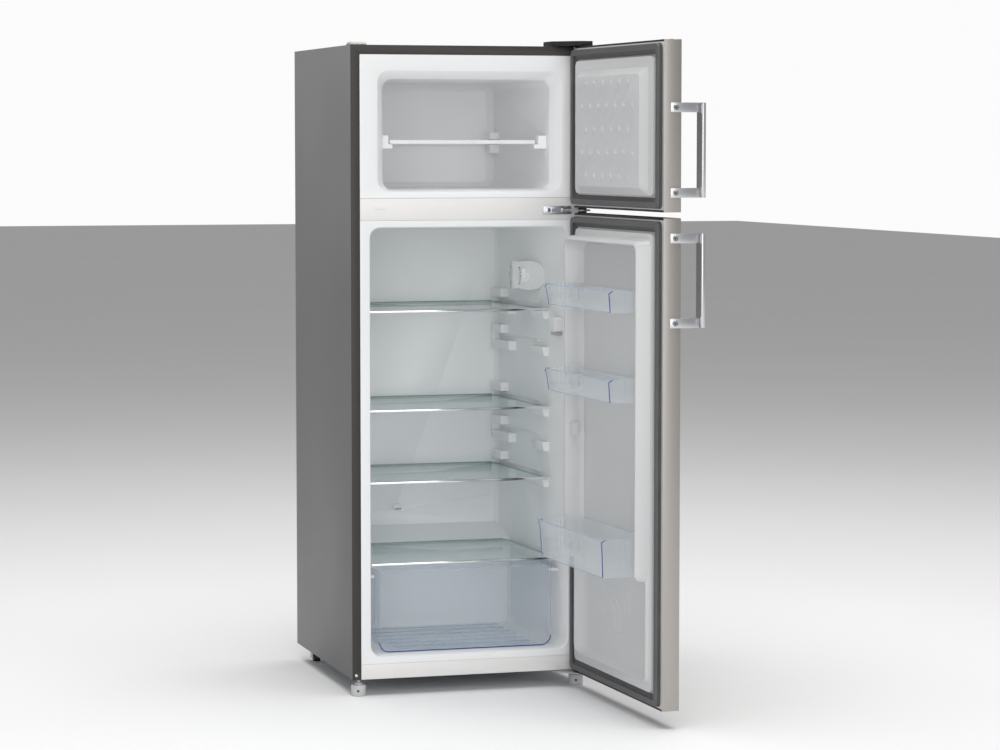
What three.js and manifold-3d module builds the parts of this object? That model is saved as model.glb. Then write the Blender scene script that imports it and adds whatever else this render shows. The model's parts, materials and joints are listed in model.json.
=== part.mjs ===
// Top freezer refrigerator: a steel cabinet with a freezer above a fresh food compartment,
// two doors hinged on the right and standing open, glass shelves, door bins and a crisper drawer.
//
// Millimetres, +Z up. While it is built, x = 0 is the cabinet's middle, y = 0 is the front face
// of the cabinet (y grows towards the back) and z = 0 is the floor. The finished group is then
// moved so that its origin is the bottom centre of its own box.
import * as THREE from 'three';
import Module from 'manifold-3d';
import { mergeVertices } from 'three/addons/utils/BufferGeometryUtils.js';

const wasm = await Module();
wasm.setup();

// ---------------------------------------------------------------- driving dimensions

const cabinet = { width: 540, depth: 540, top: 1428, underside: 37, sheet: 1, flange: 20 };
const seat = 0.4; // gap between pieces that touch
const running = 0.35; // radial gap between a pin and its hole

const rail = { bottom: 1046.4, height: 48.2, thickness: 2 }; // white strip between the compartments
const kick = { height: 33, thickness: 3 }; // strip below the fresh food compartment
const liner = { wall: 2.2, face: 2 }; // thermoformed inner boxes
const panel = { rearInset: 15, bottomSheet: 1.2 };

const freezerBox = {
  sideInset: 59, topInset: 55, sill: 13, radius: 26, // opening at the front face
  bevel: 20, bevelDepth: 30, sillRise: 5, // sloped surround of the opening
  back: 450, draft: 7, backRound: 16,
};
const foodBox = {
  sideInset: 41, topInset: 13, sill: 14, radius: 24,
  lip: 3.5, lipDepth: 7, // rolled edge of the opening
  back: 480, draft: 18.5, backRound: 10,
};
const hump = { front: 386, height: 199, rise: 34, slope: 90 }; // step over the compressor
const engineRoom = { insulation: 15, ceiling: 33 }; // foam between the step and the compressor

const shelf = {
  front: 105, rear: 466, thickness: 4, sideGap: 9.5, trimHeight: 6.4, trimDepth: 9, rearStop: 7,
};
const usedLevels = { lower: 0.232, middle: 0.447, upper: 0.742 }; // shares of the space over the crisper
const spareLevels = [0.342, 0.6295];
const guide = { // moulded supports on the side walls, heights from the glass's underside
  reach: 9, depth: 21, // how far they reach under the glass, and their height
  wedgeFront: 123, wedgeLength: 82, // support near the front
  blockFront: 347, // support at the rear
  keeperFront: 404, keeperLow: 16, keeperHigh: 35.5, // block above the rear of the glass
  lineFront: 186, lineLow: 9.5, lineHeight: 2.5, lineReach: -6, // fine rib along the wall
  coverRib: 6, // ledge under the drawer's cover
};
const crisper = {
  coverHeight: 198, coverFront: 42, front: 38, length: 324, sideInset: 30, wall: 2.5,
  height: 183, cornerRadius: 22, railReach: 10, railHeight: 174, lip: 7,
};
const wireShelf = { height: 105, front: 58, rear: 429, sideGap: 13, wire: 3, pitch: 24, bar: 9, frame: 6 };
const boss = { // blocks on the freezer's side walls that hold the wire shelf
  front: 50, length: 26, low: 10, high: 19, gap: 1.2, reach: 8, // beside and under its front end
  rear: 396, rearLength: 34, rearLow: 20, keeperLow: 11, keeperHigh: 27, // under and above its rear end
};

const door = {
  thickness: 38.4, gasketGap: 12.6, sheet: 1, cap: 4, split: 12, top: 1427, bottom: 38,
  openAngle: 91.97, // degrees from closed
};
const gasket = { inset: 7, width: 22, thickness: 11, radius: 8 };
const pin = { side: 15.5, front: 33.8, radius: 4, length: 12, socketWall: 3, socketDepth: 18 };

const innerRim = { sideInset: 36, endInset: 33, face: 9.6, radius: 14 }; // door liner inside the gasket
const ridge = { height: 28, sideInset: 47, endInset: 43, crown: 5, radius: 18, bottomInset: 258 };
const lowRim = { height: 4, bottomInset: 52 };
const recess = {
  depth: 16, sideInset: 56, taper: 5, endInset: 56, endTaper: 8, bottomInset: 240, radius: 20,
};
const lowRecess = { sideInset: 54, slope: 42, bottomInset: 50, topInset: 270, endSlope: 16, radius: 22 };
// raised panel of the freezer door, with its gaps to the freezer's opening
const plateau = { height: 12, slope: 14, sideGap: 7, endGap: 3, radius: 14 };
const diamond = { pitchX: 50.5, pitchZ: 50, halfWidth: 11, height: 2, rows: 5 };

const bins = {
  upper: { level: 0.773, height: 47, front: 82, back: 42 },
  middle: { level: 0.523, height: 50, front: 82, back: 45 },
  bottle: { level: 0.036, height: 82, front: 97, back: 88 },
};
const bin = { sideInset: 72, rear: 10, wall: 2.2, taper: 6, hookReach: 6, hookHeight: 38, hookFront: 20 };

const handle = {
  length: 195, topBelow: 129, lowBelow: 31.5, width: 31, depth: 10, reach: 44, bracketHeight: 20,
};
const bracket = { thickness: 3.2, rear: 24.7, bend: 15 };

const foot = { radius: 16.5, height: 25, stem: 4, stemTop: 58, side: 18, front: 18 };
const roller = { radius: 17, width: 14, side: 35, rear: 48, axle: 4, ear: 3, earClear: 2 };
const base = { front: 404, rear: 20, sheet: 2.5, lip: 12 }; // tray that carries the compressor
const can = { radiusX: 92, radiusY: 53, height: 150, centreX: 30, rearGap: 8 };
const coil = { passes: 12, radius: 2.6, side: 60, bottom: 330, topBelow: 90, behind: 12 };
const dial = { z: 914, y: 216, radius: 18, height: 9 };
// lamp and thermostat housing: an oval face that leans towards the front, and a lens behind it
const pod = {
  front: 147, length: 118, halfHeight: 33, tilt: 23.3, wall: 2, split: 254,
  lensCentre: 262, lensHalf: 74, lensHalfHeight: 32, lensReach: 47, lensTail: 12,
};
const lampSwitch = { front: 31, length: 48, bottom: 794, height: 32, reach: 17, travel: 4 };
const drain = { apexX: -41, z: 347, leftRise: 11, rightRise: 29, ridge: 6, proud: 4, hose: 7 };

// ---------------------------------------------------------------- materials

const finish = (color, roughness, metalness = 0, opacity = 1) =>
  new THREE.MeshStandardMaterial({ color, roughness, metalness, opacity, transparent: opacity < 1 });

const materials = {
  silverPaint: finish(0x8d8e90, 0.45, 0.5),
  stainless: finish(0xa09b96, 0.35, 0.9),
  aluminium: finish(0xb9babb, 0.3, 0.9),
  zinc: finish(0xa8abb0, 0.35, 0.9),
  whiteLiner: finish(0xe6e8ea, 0.35),
  greyLiner: finish(0xc9cacb, 0.4),
  gasketGrey: finish(0x4f5051, 0.7),
  capGrey: finish(0x3a3a3b, 0.6),
  black: finish(0x18191a, 0.5),
  lightGrey: finish(0xb6b5b0, 0.45),
  foam: finish(0xe8d9a6, 0.9),
  glass: finish(0xdfe9ea, 0.05, 0, 0.35),
  clear: finish(0xd5e2ec, 0.08, 0, 0.3),
  lens: finish(0xf6f7f8, 0.2, 0, 0.7),
  blackSteel: finish(0x26272a, 0.5, 0.6),
  whiteWire: finish(0xe9eaec, 0.4),
};

// ---------------------------------------------------------------- shape helpers

/** A solid made from any closed three.js geometry. */
function solidOf(geometry) {
  const bare = geometry.clone();
  bare.deleteAttribute('normal');
  bare.deleteAttribute('uv');
  const merged = mergeVertices(bare, 1e-4);
  return new wasm.Manifold(new wasm.Mesh({
    numProp: 3,
    vertProperties: new Float32Array(merged.attributes.position.array),
    triVerts: new Uint32Array(merged.index.array),
  }));
}

function geometryOf(solid) {
  const mesh = solid.getMesh();
  const geometry = new THREE.BufferGeometry();
  geometry.setAttribute('position', new THREE.BufferAttribute(mesh.vertProperties, 3));
  geometry.setIndex(new THREE.BufferAttribute(mesh.triVerts, 1));
  geometry.computeVertexNormals();
  return geometry;
}

const union = (...solids) => solids.reduce((a, b) => a.add(b));
const cut = (solid, ...tools) => tools.reduce((a, b) => a.subtract(b), solid);

function box(x0, x1, y0, y1, z0, z1) {
  const geometry = new THREE.BoxGeometry(x1 - x0, y1 - y0, z1 - z0);
  geometry.translate((x0 + x1) / 2, (y0 + y1) / 2, (z0 + z1) / 2);
  return solidOf(geometry);
}

const polygon = (...pairs) => pairs.map(([u, v]) => new THREE.Vector2(u, v));

function circle(u, v, radius, sides = 24) {
  return Array.from({ length: sides }, (_, i) => {
    const a = (i / sides) * 2 * Math.PI;
    return new THREE.Vector2(u + radius * Math.cos(a), v + radius * Math.sin(a));
  });
}

/** Rectangle with round corners, as a list of points with the same count for every size. */
function roundRect(u0, u1, v0, v1, radius, steps = 5) {
  const corners = [
    [u1 - radius, v1 - radius, 0], [u0 + radius, v1 - radius, 1],
    [u0 + radius, v0 + radius, 2], [u1 - radius, v0 + radius, 3],
  ];
  return corners.flatMap(([cu, cv, quarter]) =>
    Array.from({ length: steps + 1 }, (_, i) => {
      const a = (quarter + i / steps) * (Math.PI / 2);
      return new THREE.Vector2(cu + radius * Math.cos(a), cv + radius * Math.sin(a));
    }));
}

// an outline's (u, v) and its place along the axis, turned into x, y, z
const place = {
  x: (u, v, along) => new THREE.Vector3(along, u, v),
  y: (u, v, along) => new THREE.Vector3(u, along, v),
  z: (u, v, along) => new THREE.Vector3(u, v, along),
};

/** Outline pushed along an axis, with straight sides. */
function prism(axis, outline, from, to) {
  const options = { depth: to - from, bevelEnabled: false };
  const geometry = new THREE.ExtrudeGeometry(new THREE.Shape(outline), options);
  if (axis === 'x') {
    const turn = new THREE.Matrix4().makeBasis(place.x(1, 0, 0), place.x(0, 1, 0), place.x(0, 0, 1));
    geometry.applyMatrix4(turn);
    geometry.translate(from, 0, 0);
  } else if (axis === 'y') {
    geometry.rotateX(Math.PI / 2);
    geometry.translate(0, to, 0);
  } else {
    geometry.translate(0, 0, from);
  }
  return solidOf(geometry);
}

/** Skin over outlines of equal count that stand one after another along an axis. */
function loft(axis, sections) {
  const flip = THREE.ShapeUtils.isClockWise(sections[0][1]);
  const stations = sections.map(([along, outline]) => [along, flip ? [...outline].reverse() : outline]);
  const rings = stations.map(([along, outline]) => outline.map((p) => place[axis](p.x, p.y, along)));
  const count = rings[0].length;
  const faces = [];
  for (let ring = 0; ring + 1 < rings.length; ring++) {
    for (let i = 0; i < count; i++) {
      const a = ring * count + i;
      const b = ring * count + ((i + 1) % count);
      faces.push([a, b, b + count], [a, b + count, a + count]);
    }
  }
  const cap = THREE.ShapeUtils.triangulateShape(stations[0][1], []);
  const last = (rings.length - 1) * count;
  cap.forEach(([a, b, c]) => faces.push([a, c, b], [last + a, last + b, last + c]));
  const inwards = axis === 'y';
  const geometry = new THREE.BufferGeometry();
  const points = rings.flat().flatMap((p) => [p.x, p.y, p.z]);
  geometry.setAttribute('position', new THREE.BufferAttribute(new Float32Array(points), 3));
  geometry.setIndex(faces.flatMap(([a, b, c]) => (inwards ? [a, c, b] : [a, b, c])));
  return solidOf(geometry);
}

/** Round tube through a list of points, with a ring at each of them. */
function tube(points, radius, sides = 8) {
  const rings = points.length;
  const before = (i) => points[Math.max(i - 1, 0)];
  const after = (i) => points[Math.min(i + 1, rings - 1)];
  const direction = (i) => after(i).clone().sub(before(i)).normalize();
  let normal = new THREE.Vector3(0, 1, 0);
  if (Math.abs(direction(0).y) > 0.9) normal.set(1, 0, 0);
  const positions = [];
  for (let i = 0; i < rings; i++) {
    const along = direction(i);
    normal = normal.clone().addScaledVector(along, -normal.dot(along)).normalize();
    const side = along.clone().cross(normal);
    for (let k = 0; k < sides; k++) {
      const a = (k / sides) * 2 * Math.PI;
      const p = points[i].clone();
      p.addScaledVector(normal, radius * Math.cos(a)).addScaledVector(side, radius * Math.sin(a));
      positions.push(p.x, p.y, p.z);
    }
  }
  const index = [];
  for (let i = 0; i + 1 < rings; i++) {
    for (let k = 0; k < sides; k++) {
      const a = i * sides + k;
      const b = i * sides + ((k + 1) % sides);
      index.push(a, b, b + sides, a, b + sides, a + sides);
    }
  }
  const last = (rings - 1) * sides;
  for (let k = 1; k + 1 < sides; k++) index.push(0, k + 1, k, last, last + k, last + k + 1);
  const geometry = new THREE.BufferGeometry();
  geometry.setAttribute('position', new THREE.BufferAttribute(new Float32Array(positions), 3));
  geometry.setIndex(index);
  return solidOf(geometry);
}

const rod = (axis, u, v, radius, from, to, sides) => prism(axis, circle(u, v, radius, sides), from, to);

function turned(profile, x, y, z, sides = 24) {
  const geometry = new THREE.LatheGeometry(profile.map(([r, h]) => new THREE.Vector2(r, h)), sides);
  geometry.rotateX(Math.PI / 2);
  geometry.translate(x, y, z);
  return solidOf(geometry);
}

const refrigerator = new THREE.Group();

function add(name, shape, material, parent = refrigerator) {
  const mesh = new THREE.Mesh(geometryOf(shape), materials[material]);
  mesh.name = name;
  parent.add(mesh);
}

// ---------------------------------------------------------------- worked-out places

const half = cabinet.width / 2;
const inside = half - cabinet.sheet; // inner face of the side sheets
const face = { half: half - cabinet.flange - seat, top: cabinet.top - cabinet.flange - seat };
const rearPanelY = cabinet.depth - panel.rearInset;
const kickTop = cabinet.underside + seat + kick.height;
const railTop = rail.bottom + rail.height;
const foodSill = kickTop + seat + foodBox.sill;
const foodCeiling = rail.bottom - seat - foodBox.topInset;
const coverZ = foodSill + crisper.coverHeight;
const drawerFloor = foodSill + foodBox.lip + 1;
const levelZ = (share) => coverZ + share * (foodCeiling - coverZ);
const humpTop = foodSill + hump.height;
const compartmentTop = humpTop - engineRoom.ceiling;
const compartmentFront = hump.front + engineRoom.insulation;
const pinX = half - pin.side;
const pinY = -pin.front;

/** Inner surface of a compartment, grown by an offset; y runs from the front face to the back. */
function compartment(x, z0, z1, spec, offset) {
  const front = offset > 0 ? 0 : -1;
  const stations = spec.stations.map(([y, inset, low, high, radius]) => [
    y,
    roundRect(-x + inset - offset, x - inset + offset, z0 + low - offset, z1 - high + offset,
      radius + offset),
  ]);
  stations[0][0] = front;
  stations[stations.length - 1][0] += offset;
  return loft('y', stations);
}

const freezerFloor = railTop + seat + freezerBox.sill;
const freezerCeiling = cabinet.top - freezerBox.topInset;
const freezerShape = {
  stations: [
    [0, 0, 0, 0, freezerBox.radius],
    [freezerBox.bevelDepth, freezerBox.bevel, freezerBox.sillRise, freezerBox.bevel - 2,
      freezerBox.radius - 4],
    [freezerBox.back - freezerBox.backRound, freezerBox.bevel + freezerBox.draft, freezerBox.sillRise + 1,
      freezerBox.bevel, freezerBox.radius - 4],
    [freezerBox.back, freezerBox.bevel + freezerBox.draft + freezerBox.backRound, freezerBox.sillRise + 12,
      freezerBox.bevel + freezerBox.backRound, 10],
  ],
};
const foodShape = {
  stations: [
    [0, 0, 0, 0, foodBox.radius],
    [foodBox.lipDepth, foodBox.lip, foodBox.lip, foodBox.lip, foodBox.radius - 2],
    [foodBox.back - foodBox.backRound, foodBox.lip + foodBox.draft, foodBox.lip + 0.5, foodBox.lip + 8,
      foodBox.radius - 4],
    [foodBox.back, foodBox.lip + foodBox.draft + foodBox.backRound, foodBox.lip + 8, foodBox.lip + 18, 12],
  ],
};

const freezerVolume = (offset) =>
  compartment(half - freezerBox.sideInset, freezerFloor, freezerCeiling, freezerShape, offset);

const foodHalf = half - foodBox.sideInset;
const foodTaper = foodBox.draft / (foodBox.back - foodBox.backRound - foodBox.lipDepth);
const foodWall = (y) => foodHalf - foodBox.lip - foodTaper * (y - foodBox.lipDepth);
const freezerTaper = freezerBox.draft / (freezerBox.back - freezerBox.backRound - freezerBox.bevelDepth);
const freezerWall = (y) =>
  half - freezerBox.sideInset - freezerBox.bevel - freezerTaper * (y - freezerBox.bevelDepth);
const wireZ = freezerFloor + wireShelf.height;
const wireHalf = freezerWall(wireShelf.rear) - wireShelf.sideGap;

/** Step at the foot of the food compartment's back wall, over the compressor. */
function humpSolid(offset) {
  const edge = hump.front + offset;
  const outline = polygon(
    [edge, 0], [edge, humpTop - 8 - offset], [edge + 8, humpTop - offset],
    [edge + hump.slope, humpTop + hump.rise - offset], [cabinet.depth * 2, humpTop + hump.rise - offset],
    [cabinet.depth * 2, 0],
  );
  return prism('x', outline, -half, half);
}

const foodVolume = (offset) =>
  cut(compartment(foodHalf, foodSill, foodCeiling, foodShape, offset), humpSolid(offset));

// ---------------------------------------------------------------- cabinet

function cabinetShell() {
  const { top, underside, depth, sheet, flange } = cabinet;
  return cut(
    box(-half, half, 0, depth, underside, top),
    box(-inside, inside, sheet, depth + 1, underside - 1, top - sheet),
    box(-half + flange, half - flange, -1, sheet + 1, underside - 1, top - flange),
  );
}

function bottomPanel() {
  const low = cabinet.underside + 0.5;
  const step = compartmentFront;
  const sheet = panel.bottomSheet;
  const outline = polygon(
    [kick.thickness + seat, low], [step, low], [step, compartmentTop - sheet],
    [rearPanelY - seat, compartmentTop - sheet],
    [rearPanelY - seat, compartmentTop], [step - sheet, compartmentTop], [step - sheet, low + sheet],
    [kick.thickness + seat, low + sheet],
  );
  const footHole = (x) => rod('z', x, foot.front, foot.stem + running, low - 5, low + 5);
  return cut(
    prism('x', outline, -inside + seat, inside - seat),
    footHole(-half + foot.side), footHole(half - foot.side), drainHose(drain.hose + seat),
  );
}

/** Blocks on one side wall of the freezer that carry, guide and keep the wire shelf. */
function shelfBosses(side) {
  const block = (inner, front, length, low, high) => {
    const outer = freezerWall(front) + liner.wall / 2;
    const [x0, x1] = side < 0 ? [-outer, -inner] : [inner, outer];
    return box(x0, x1, front, front + length, wireZ + low, wireZ + high);
  };
  return [
    block(wireHalf - boss.reach, boss.front, boss.length, -boss.low, -seat),
    block(wireHalf + boss.gap, boss.front, boss.length, -boss.low, boss.high),
    block(wireHalf - boss.reach, boss.rear, boss.rearLength, -boss.rearLow, -seat),
    block(wireHalf - boss.reach, boss.rear, boss.rearLength, boss.keeperLow, boss.keeperHigh),
  ];
}

function freezerLiner() {
  const shell = cut(
    union(box(-face.half, face.half, 0, liner.face, railTop + seat, face.top), freezerVolume(liner.wall)),
    freezerVolume(0),
  );
  return union(shell, ...shelfBosses(-1), ...shelfBosses(1));
}

/** Moulded rib along one side wall, from y0 to y1, that reaches in from the wall. */
function sideRib(side, y0, y1, z0, z1, reach) {
  const inner = (y) => foodWall(y) - shelf.sideGap - reach;
  const outer = (y) => foodWall(y) + liner.wall / 2;
  const points = [[inner(y0), y0], [outer(y0), y0], [outer(y1), y1], [inner(y1), y1]];
  return prism('z', polygon(...points.map(([x, y]) => [side * x, y])), z0, z1);
}

/** Wedge on one side wall that carries the front of a shelf. */
function sideBump(side, y0, y1, z0, z1) {
  const outline = (z, grow) => {
    const inner = (y) => foodWall(y) - shelf.sideGap - guide.reach + 2 + grow;
    const outer = (y) => foodWall(y) + liner.wall / 2;
    const points = [[inner(y0), y0 + grow], [outer(y0), y0], [outer(y1), y1], [inner(y1), y1 - grow / 2]];
    return [z, polygon(...points.map(([x, y]) => [side * x, y]))];
  };
  return loft('z', [outline(z0, 7), outline(z1, 0)]);
}

/** Straight ledge that the drawer's runner slides on. */
function drawerLedge(side) {
  const inner = foodHalf - crisper.sideInset + 4;
  const from = crisper.front + 24;
  const to = crisper.front + crisper.length - 6;
  const top = drawerFloor + crisper.railHeight - 4 - seat;
  const points = [[inner, from], [foodWall(from) + 1, from], [foodWall(to) + 1, to], [inner, to]];
  return prism('z', polygon(...points.map(([x, y]) => [side * x, y])), top - 6, top);
}

/** Supports, keeper block and fine rib of one shelf level, on one side wall. */
function shelfGuides(side, share) {
  const z = levelZ(share);
  const under = z - seat;
  const rib = (from, to, low, high, reach) => sideRib(side, from, to, low, high, reach);
  return [
    sideBump(side, guide.wedgeFront, guide.wedgeFront + guide.wedgeLength, under - guide.depth, under),
    rib(guide.blockFront, shelf.rear, under - guide.depth, under, guide.reach),
    rib(shelf.rear + seat, foodBox.back - foodBox.backRound, under - guide.depth, z + guide.keeperHigh,
      guide.reach),
    rib(guide.keeperFront, shelf.rear + 1, z + guide.keeperLow, z + guide.keeperHigh, guide.reach),
    rib(shelf.rear - 1, shelf.rear + 1, under - guide.depth, under - seat, guide.reach),
    rib(guide.lineFront, shelf.rear, z + guide.lineLow, z + guide.lineLow + guide.lineHeight,
      guide.lineReach),
  ];
}

function foodLiner() {
  const ribs = [];
  for (const side of [-1, 1]) {
    for (const share of [...Object.values(usedLevels), ...spareLevels]) {
      ribs.push(...shelfGuides(side, share));
    }
    const ledgeTop = coverZ - seat;
    ribs.push(sideRib(
      side, crisper.coverFront + 22, hump.front - 1, ledgeTop - guide.coverRib, ledgeTop, guide.reach,
    ));
    ribs.push(drawerLedge(side));
  }
  const backWall = foodBox.back;
  const gutter = polygon(
    [-foodHalf + 40, drain.z + drain.leftRise], [drain.apexX, drain.z],
      [foodHalf - 40, drain.z + drain.rightRise],
    [foodHalf - 40, drain.z + drain.rightRise + drain.ridge], [drain.apexX, drain.z + drain.ridge],
    [-foodHalf + 40, drain.z + drain.leftRise + drain.ridge],
  );
  const outlet = rod('y', drain.apexX, drain.z + 10, drain.hose - 2, backWall - 10, backWall + 10);
  const flange = box(-face.half, face.half, 0, liner.face, kickTop + seat, rail.bottom - seat);
  const shell = cut(union(flange, foodVolume(liner.wall)), foodVolume(0));
  return cut(union(shell, ...ribs, prism('y', gutter, backWall - drain.proud, backWall + 1)), outlet);
}

function freezerEvaporator() {
  const band = (offset, grow) =>
    freezerVolume(offset).intersect(box(-half, half, 60 - grow, 430 + grow, 0, cabinet.top));
  return { solid: cut(band(liner.wall + seat + 1.5, 0), freezerVolume(liner.wall + seat)),
    pocket: band(liner.wall + 2 * seat + 1.5, seat) };
}

const evaporatorPlate = (grow) =>
  box(-170 - grow, 170 + grow, foodBox.back + liner.wall + seat,
    foodBox.back + liner.wall + seat + 1.5 + grow,
    levelZ(0.38) - grow, levelZ(0.95) + grow);

/** Drain hose from the back wall's outlet down to the tray on the compressor. */
function drainHose(radius) {
  const y0 = foodBox.back + liner.wall + seat;
  const points = [[y0, 0], [y0 + 8, 0], [y0 + 15, -3], [y0 + 18, -10]].map(
    ([y, dz]) => new THREE.Vector3(drain.apexX, y, drain.z + 10 + dz),
  );
  points.push(new THREE.Vector3(drain.apexX, y0 + 18, compartmentTop - 20));
  return tube(points, radius, 10);
}

function cabinetFoam(evaporatorPocket) {
  const low = cabinet.underside + 0.5 + panel.bottomSheet + seat;
  const block = box(-inside + seat, inside - seat, kick.thickness + seat, rearPanelY - seat, low,
    cabinet.top - cabinet.sheet - seat);
  const engineRoom = box(-half, half, compartmentFront - panel.bottomSheet - seat, cabinet.depth + 1, 0,
    compartmentTop + seat);
  const footPocket = (x) => rod('z', x, foot.front, foot.stem + 4, 0, foot.stemTop + 4, 12);
  return cut(
    block, engineRoom, freezerVolume(liner.wall + seat), foodVolume(liner.wall + seat), evaporatorPocket,
    evaporatorPlate(seat), drainHose(drain.hose + seat), footPocket(-half + foot.side),
      footPocket(half - foot.side),
  );
}

function buildCabinet() {
  const evaporator = freezerEvaporator();
  add('cabinet_shell', cabinetShell(), 'silverPaint');
  add('rear_panel', box(-inside + seat, inside - seat, rearPanelY, rearPanelY + cabinet.sheet,
    compartmentTop + seat,
    cabinet.top - cabinet.sheet - seat), 'silverPaint');
  add('bottom_panel', bottomPanel(), 'zinc');
  add('cabinet_foam', cabinetFoam(evaporator.pocket), 'foam');
  add('freezer_liner', freezerLiner(), 'whiteLiner');
  add('fridge_liner', foodLiner(), 'whiteLiner');
  add('centre_rail', box(-face.half, face.half, 0, rail.thickness, rail.bottom, railTop), 'whiteLiner');
  add('kick_plate', box(-face.half, face.half, 0, kick.thickness, cabinet.underside + seat, kickTop),
    'whiteLiner');
  add('freezer_evaporator', evaporator.solid, 'aluminium');
  add('fridge_evaporator', evaporatorPlate(0), 'aluminium');
  add('drain_hose', cut(drainHose(drain.hose), drainHose(drain.hose - 2).translate(0, -0.5, 0),
    rod('z', drain.apexX, foodBox.back + liner.wall + seat + 18, drain.hose - 2, 0,
      compartmentTop)), 'lightGrey');
  const plugTop = drain.z + 21;
  add('drain_cover', prism('y', roundRect(drain.apexX - 10, drain.apexX + 10, drain.z + 6.5, plugTop, 7, 4),
    foodBox.back - drain.proud - seat - 4, foodBox.back - drain.proud - seat), 'whiteLiner');
  const capHalf = 18.5;
  const capX = -half + capHalf + seat;
  const capOutline = (inset) => roundRect(
    capX - capHalf + inset, capX + capHalf - inset, 1 + inset, 42 - inset, 2, 2);
  add('corner_cap', loft('z', [[cabinet.top + seat, capOutline(0)], [cabinet.top + 2.5, capOutline(0)],
    [cabinet.top + 6.5, capOutline(3.5)]]), 'lightGrey');
}

// ---------------------------------------------------------------- hinges and pins

const hingeArm = (inset, rear) => polygon(
  [half - 82 + inset, rear - inset], [half - 82 + inset, 4 + inset], [pinX - 16 + inset, pinY - 12 + inset],
  [half - 2 - inset, pinY - 12 + inset], [half - 2 - inset, rear - inset],
);
const hingePin = (z0, z1) => rod('z', pinX, pinY, pin.radius, z0, z1, 16);

function buildHinges() {
  const top = cabinet.top + seat;
  add('top_hinge', union(prism('z', hingeArm(3, 60), top, top + 3),
    hingePin(door.top - pin.length - 3, top + 1.5)), 'zinc');
  add('top_hinge_cover', cut(prism('z', hingeArm(0, 64), top, top + 11),
    prism('z', hingeArm(2.2, 61.6), top - 1, top + 8)), 'black');

  const middle = (doorSplit.low + doorSplit.high) / 2;
  const arm = polygon([half - 62, -seat], [half - 62, -3.4], [pinX - 8, pinY - 10], [half - 6, pinY - 10],
    [half - 6, pinY + 8], [half - 30, -seat]);
  add('centre_hinge', union(
    box(half - 103, half - 38, -3.4, -seat, middle - 9, middle + 9),
    prism('z', arm, middle - 2, middle + 2),
    hingePin(doorSplit.low - pin.length, doorSplit.high + pin.length),
  ), 'zinc');

  const low = cabinet.underside - 4;
  add('bottom_hinge', cut(
    union(prism('z', hingeArm(0, 70), low, low + 3.6), hingePin(low + 1, door.bottom + pin.length)),
    rod('z', half - foot.side, foot.front, foot.stem + running + 0.3, low - 1, low + 5),
  ), 'blackSteel');
}

const doorSplit = { low: (rail.bottom + railTop) / 2 - 3.5 - door.split / 2 };
doorSplit.high = doorSplit.low + door.split;

// ---------------------------------------------------------------- doors

/** Group that stands at the hinge pin, turned to the open angle, and holds a closed-door frame. */
function openDoor() {
  const swing = new THREE.Group();
  swing.position.set(pinX, pinY, 0);
  swing.rotation.z = THREE.MathUtils.degToRad(door.openAngle);
  const closed = new THREE.Group();
  closed.position.set(-pinX, -pinY, 0);
  swing.add(closed);
  refrigerator.add(swing);
  return closed;
}

const skinBack = -door.gasketGap; // inner edge of the door's steel
const skinFront = skinBack - door.thickness;
const doorInside = half - door.sheet - seat;

function doorSkin(z0, z1) {
  return cut(box(-half, half, skinFront, skinBack, z0, z1),
    box(-half + door.sheet, half - door.sheet, skinFront + door.sheet, skinBack + 1, z0 - 1, z1 + 1));
}

/** End cap with the socket that turns on a hinge pin; up is 1 for a bottom cap, -1 for a top one. */
function doorCap(edge, up) {
  const span = (a, b) => (up > 0 ? [edge + a, edge + b] : [edge - b, edge - a]);
  const plate = box(-doorInside, doorInside, skinFront + door.sheet + seat,
    skinBack - liner.face - 2 * seat, ...span(0, door.cap));
  const socket = rod('z', pinX, pinY, pin.radius + pin.socketWall, ...span(0, pin.socketDepth), 16);
  return cut(union(plate, socket),
    rod('z', pinX, pinY, pin.radius + running, ...span(-1, pin.socketDepth - 3), 16));
}

const rimBase = (z0, z1, s) => {
  const x = half - innerRim.sideInset - s;
  const y = skinBack + innerRim.face - s;
  return prism('y', roundRect(-x, x, z0 + innerRim.endInset + s, z1 - innerRim.endInset - s,
    innerRim.radius), -30, y);
};

const doorBack = (z0, z1, s) =>
  box(-doorInside - s, doorInside + s, -30 - s, skinBack - s, z0 + door.cap + seat - s,
    z1 - door.cap - seat + s);

/** Space behind a door liner's visible surface, shrunk by s: the wall is what lies between two of them. */
function freezerDoorVolume(z0, z1, s) {
  const rimY = skinBack + innerRim.face;
  const flare = (plateau.slope * -rimY) / (plateau.height - rimY);
  const outline = (inset) => {
    const x = half - freezerBox.sideInset - plateau.sideGap + flare - inset - s;
    const end = plateau.endGap - flare + inset + s;
    return roundRect(-x, x, freezerFloor + end, freezerCeiling - end, plateau.radius);
  };
  return union(doorBack(z0, z1, s), rimBase(z0, z1, s), loft('y', [
    [-20, outline(0)], [rimY - s, outline(0)], [plateau.height - s, outline(plateau.slope)],
  ]));
}

function diamonds(z0, z1) {
  const studs = [];
  const middle = (z0 + z1 - 16) / 2;
  for (let row = 0; row < diamond.rows; row++) {
    const count = row % 2 === 0 ? 6 : 7;
    const z = middle + ((diamond.rows - 1) / 2 - row) * diamond.pitchZ;
    for (let i = 0; i < count; i++) {
      const x = (i - (count - 1) / 2) * diamond.pitchX;
      const outline = (r) => polygon([x - r, z], [x, z - r], [x + r, z], [x, z + r]);
      const base = outline(diamond.halfWidth);
      const crown = outline(diamond.halfWidth * 0.45);
      studs.push(loft('y', [
        [plateau.height - 1, base], [plateau.height, base], [plateau.height + diamond.height, crown],
      ]));
    }
  }
  return studs;
}

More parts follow.
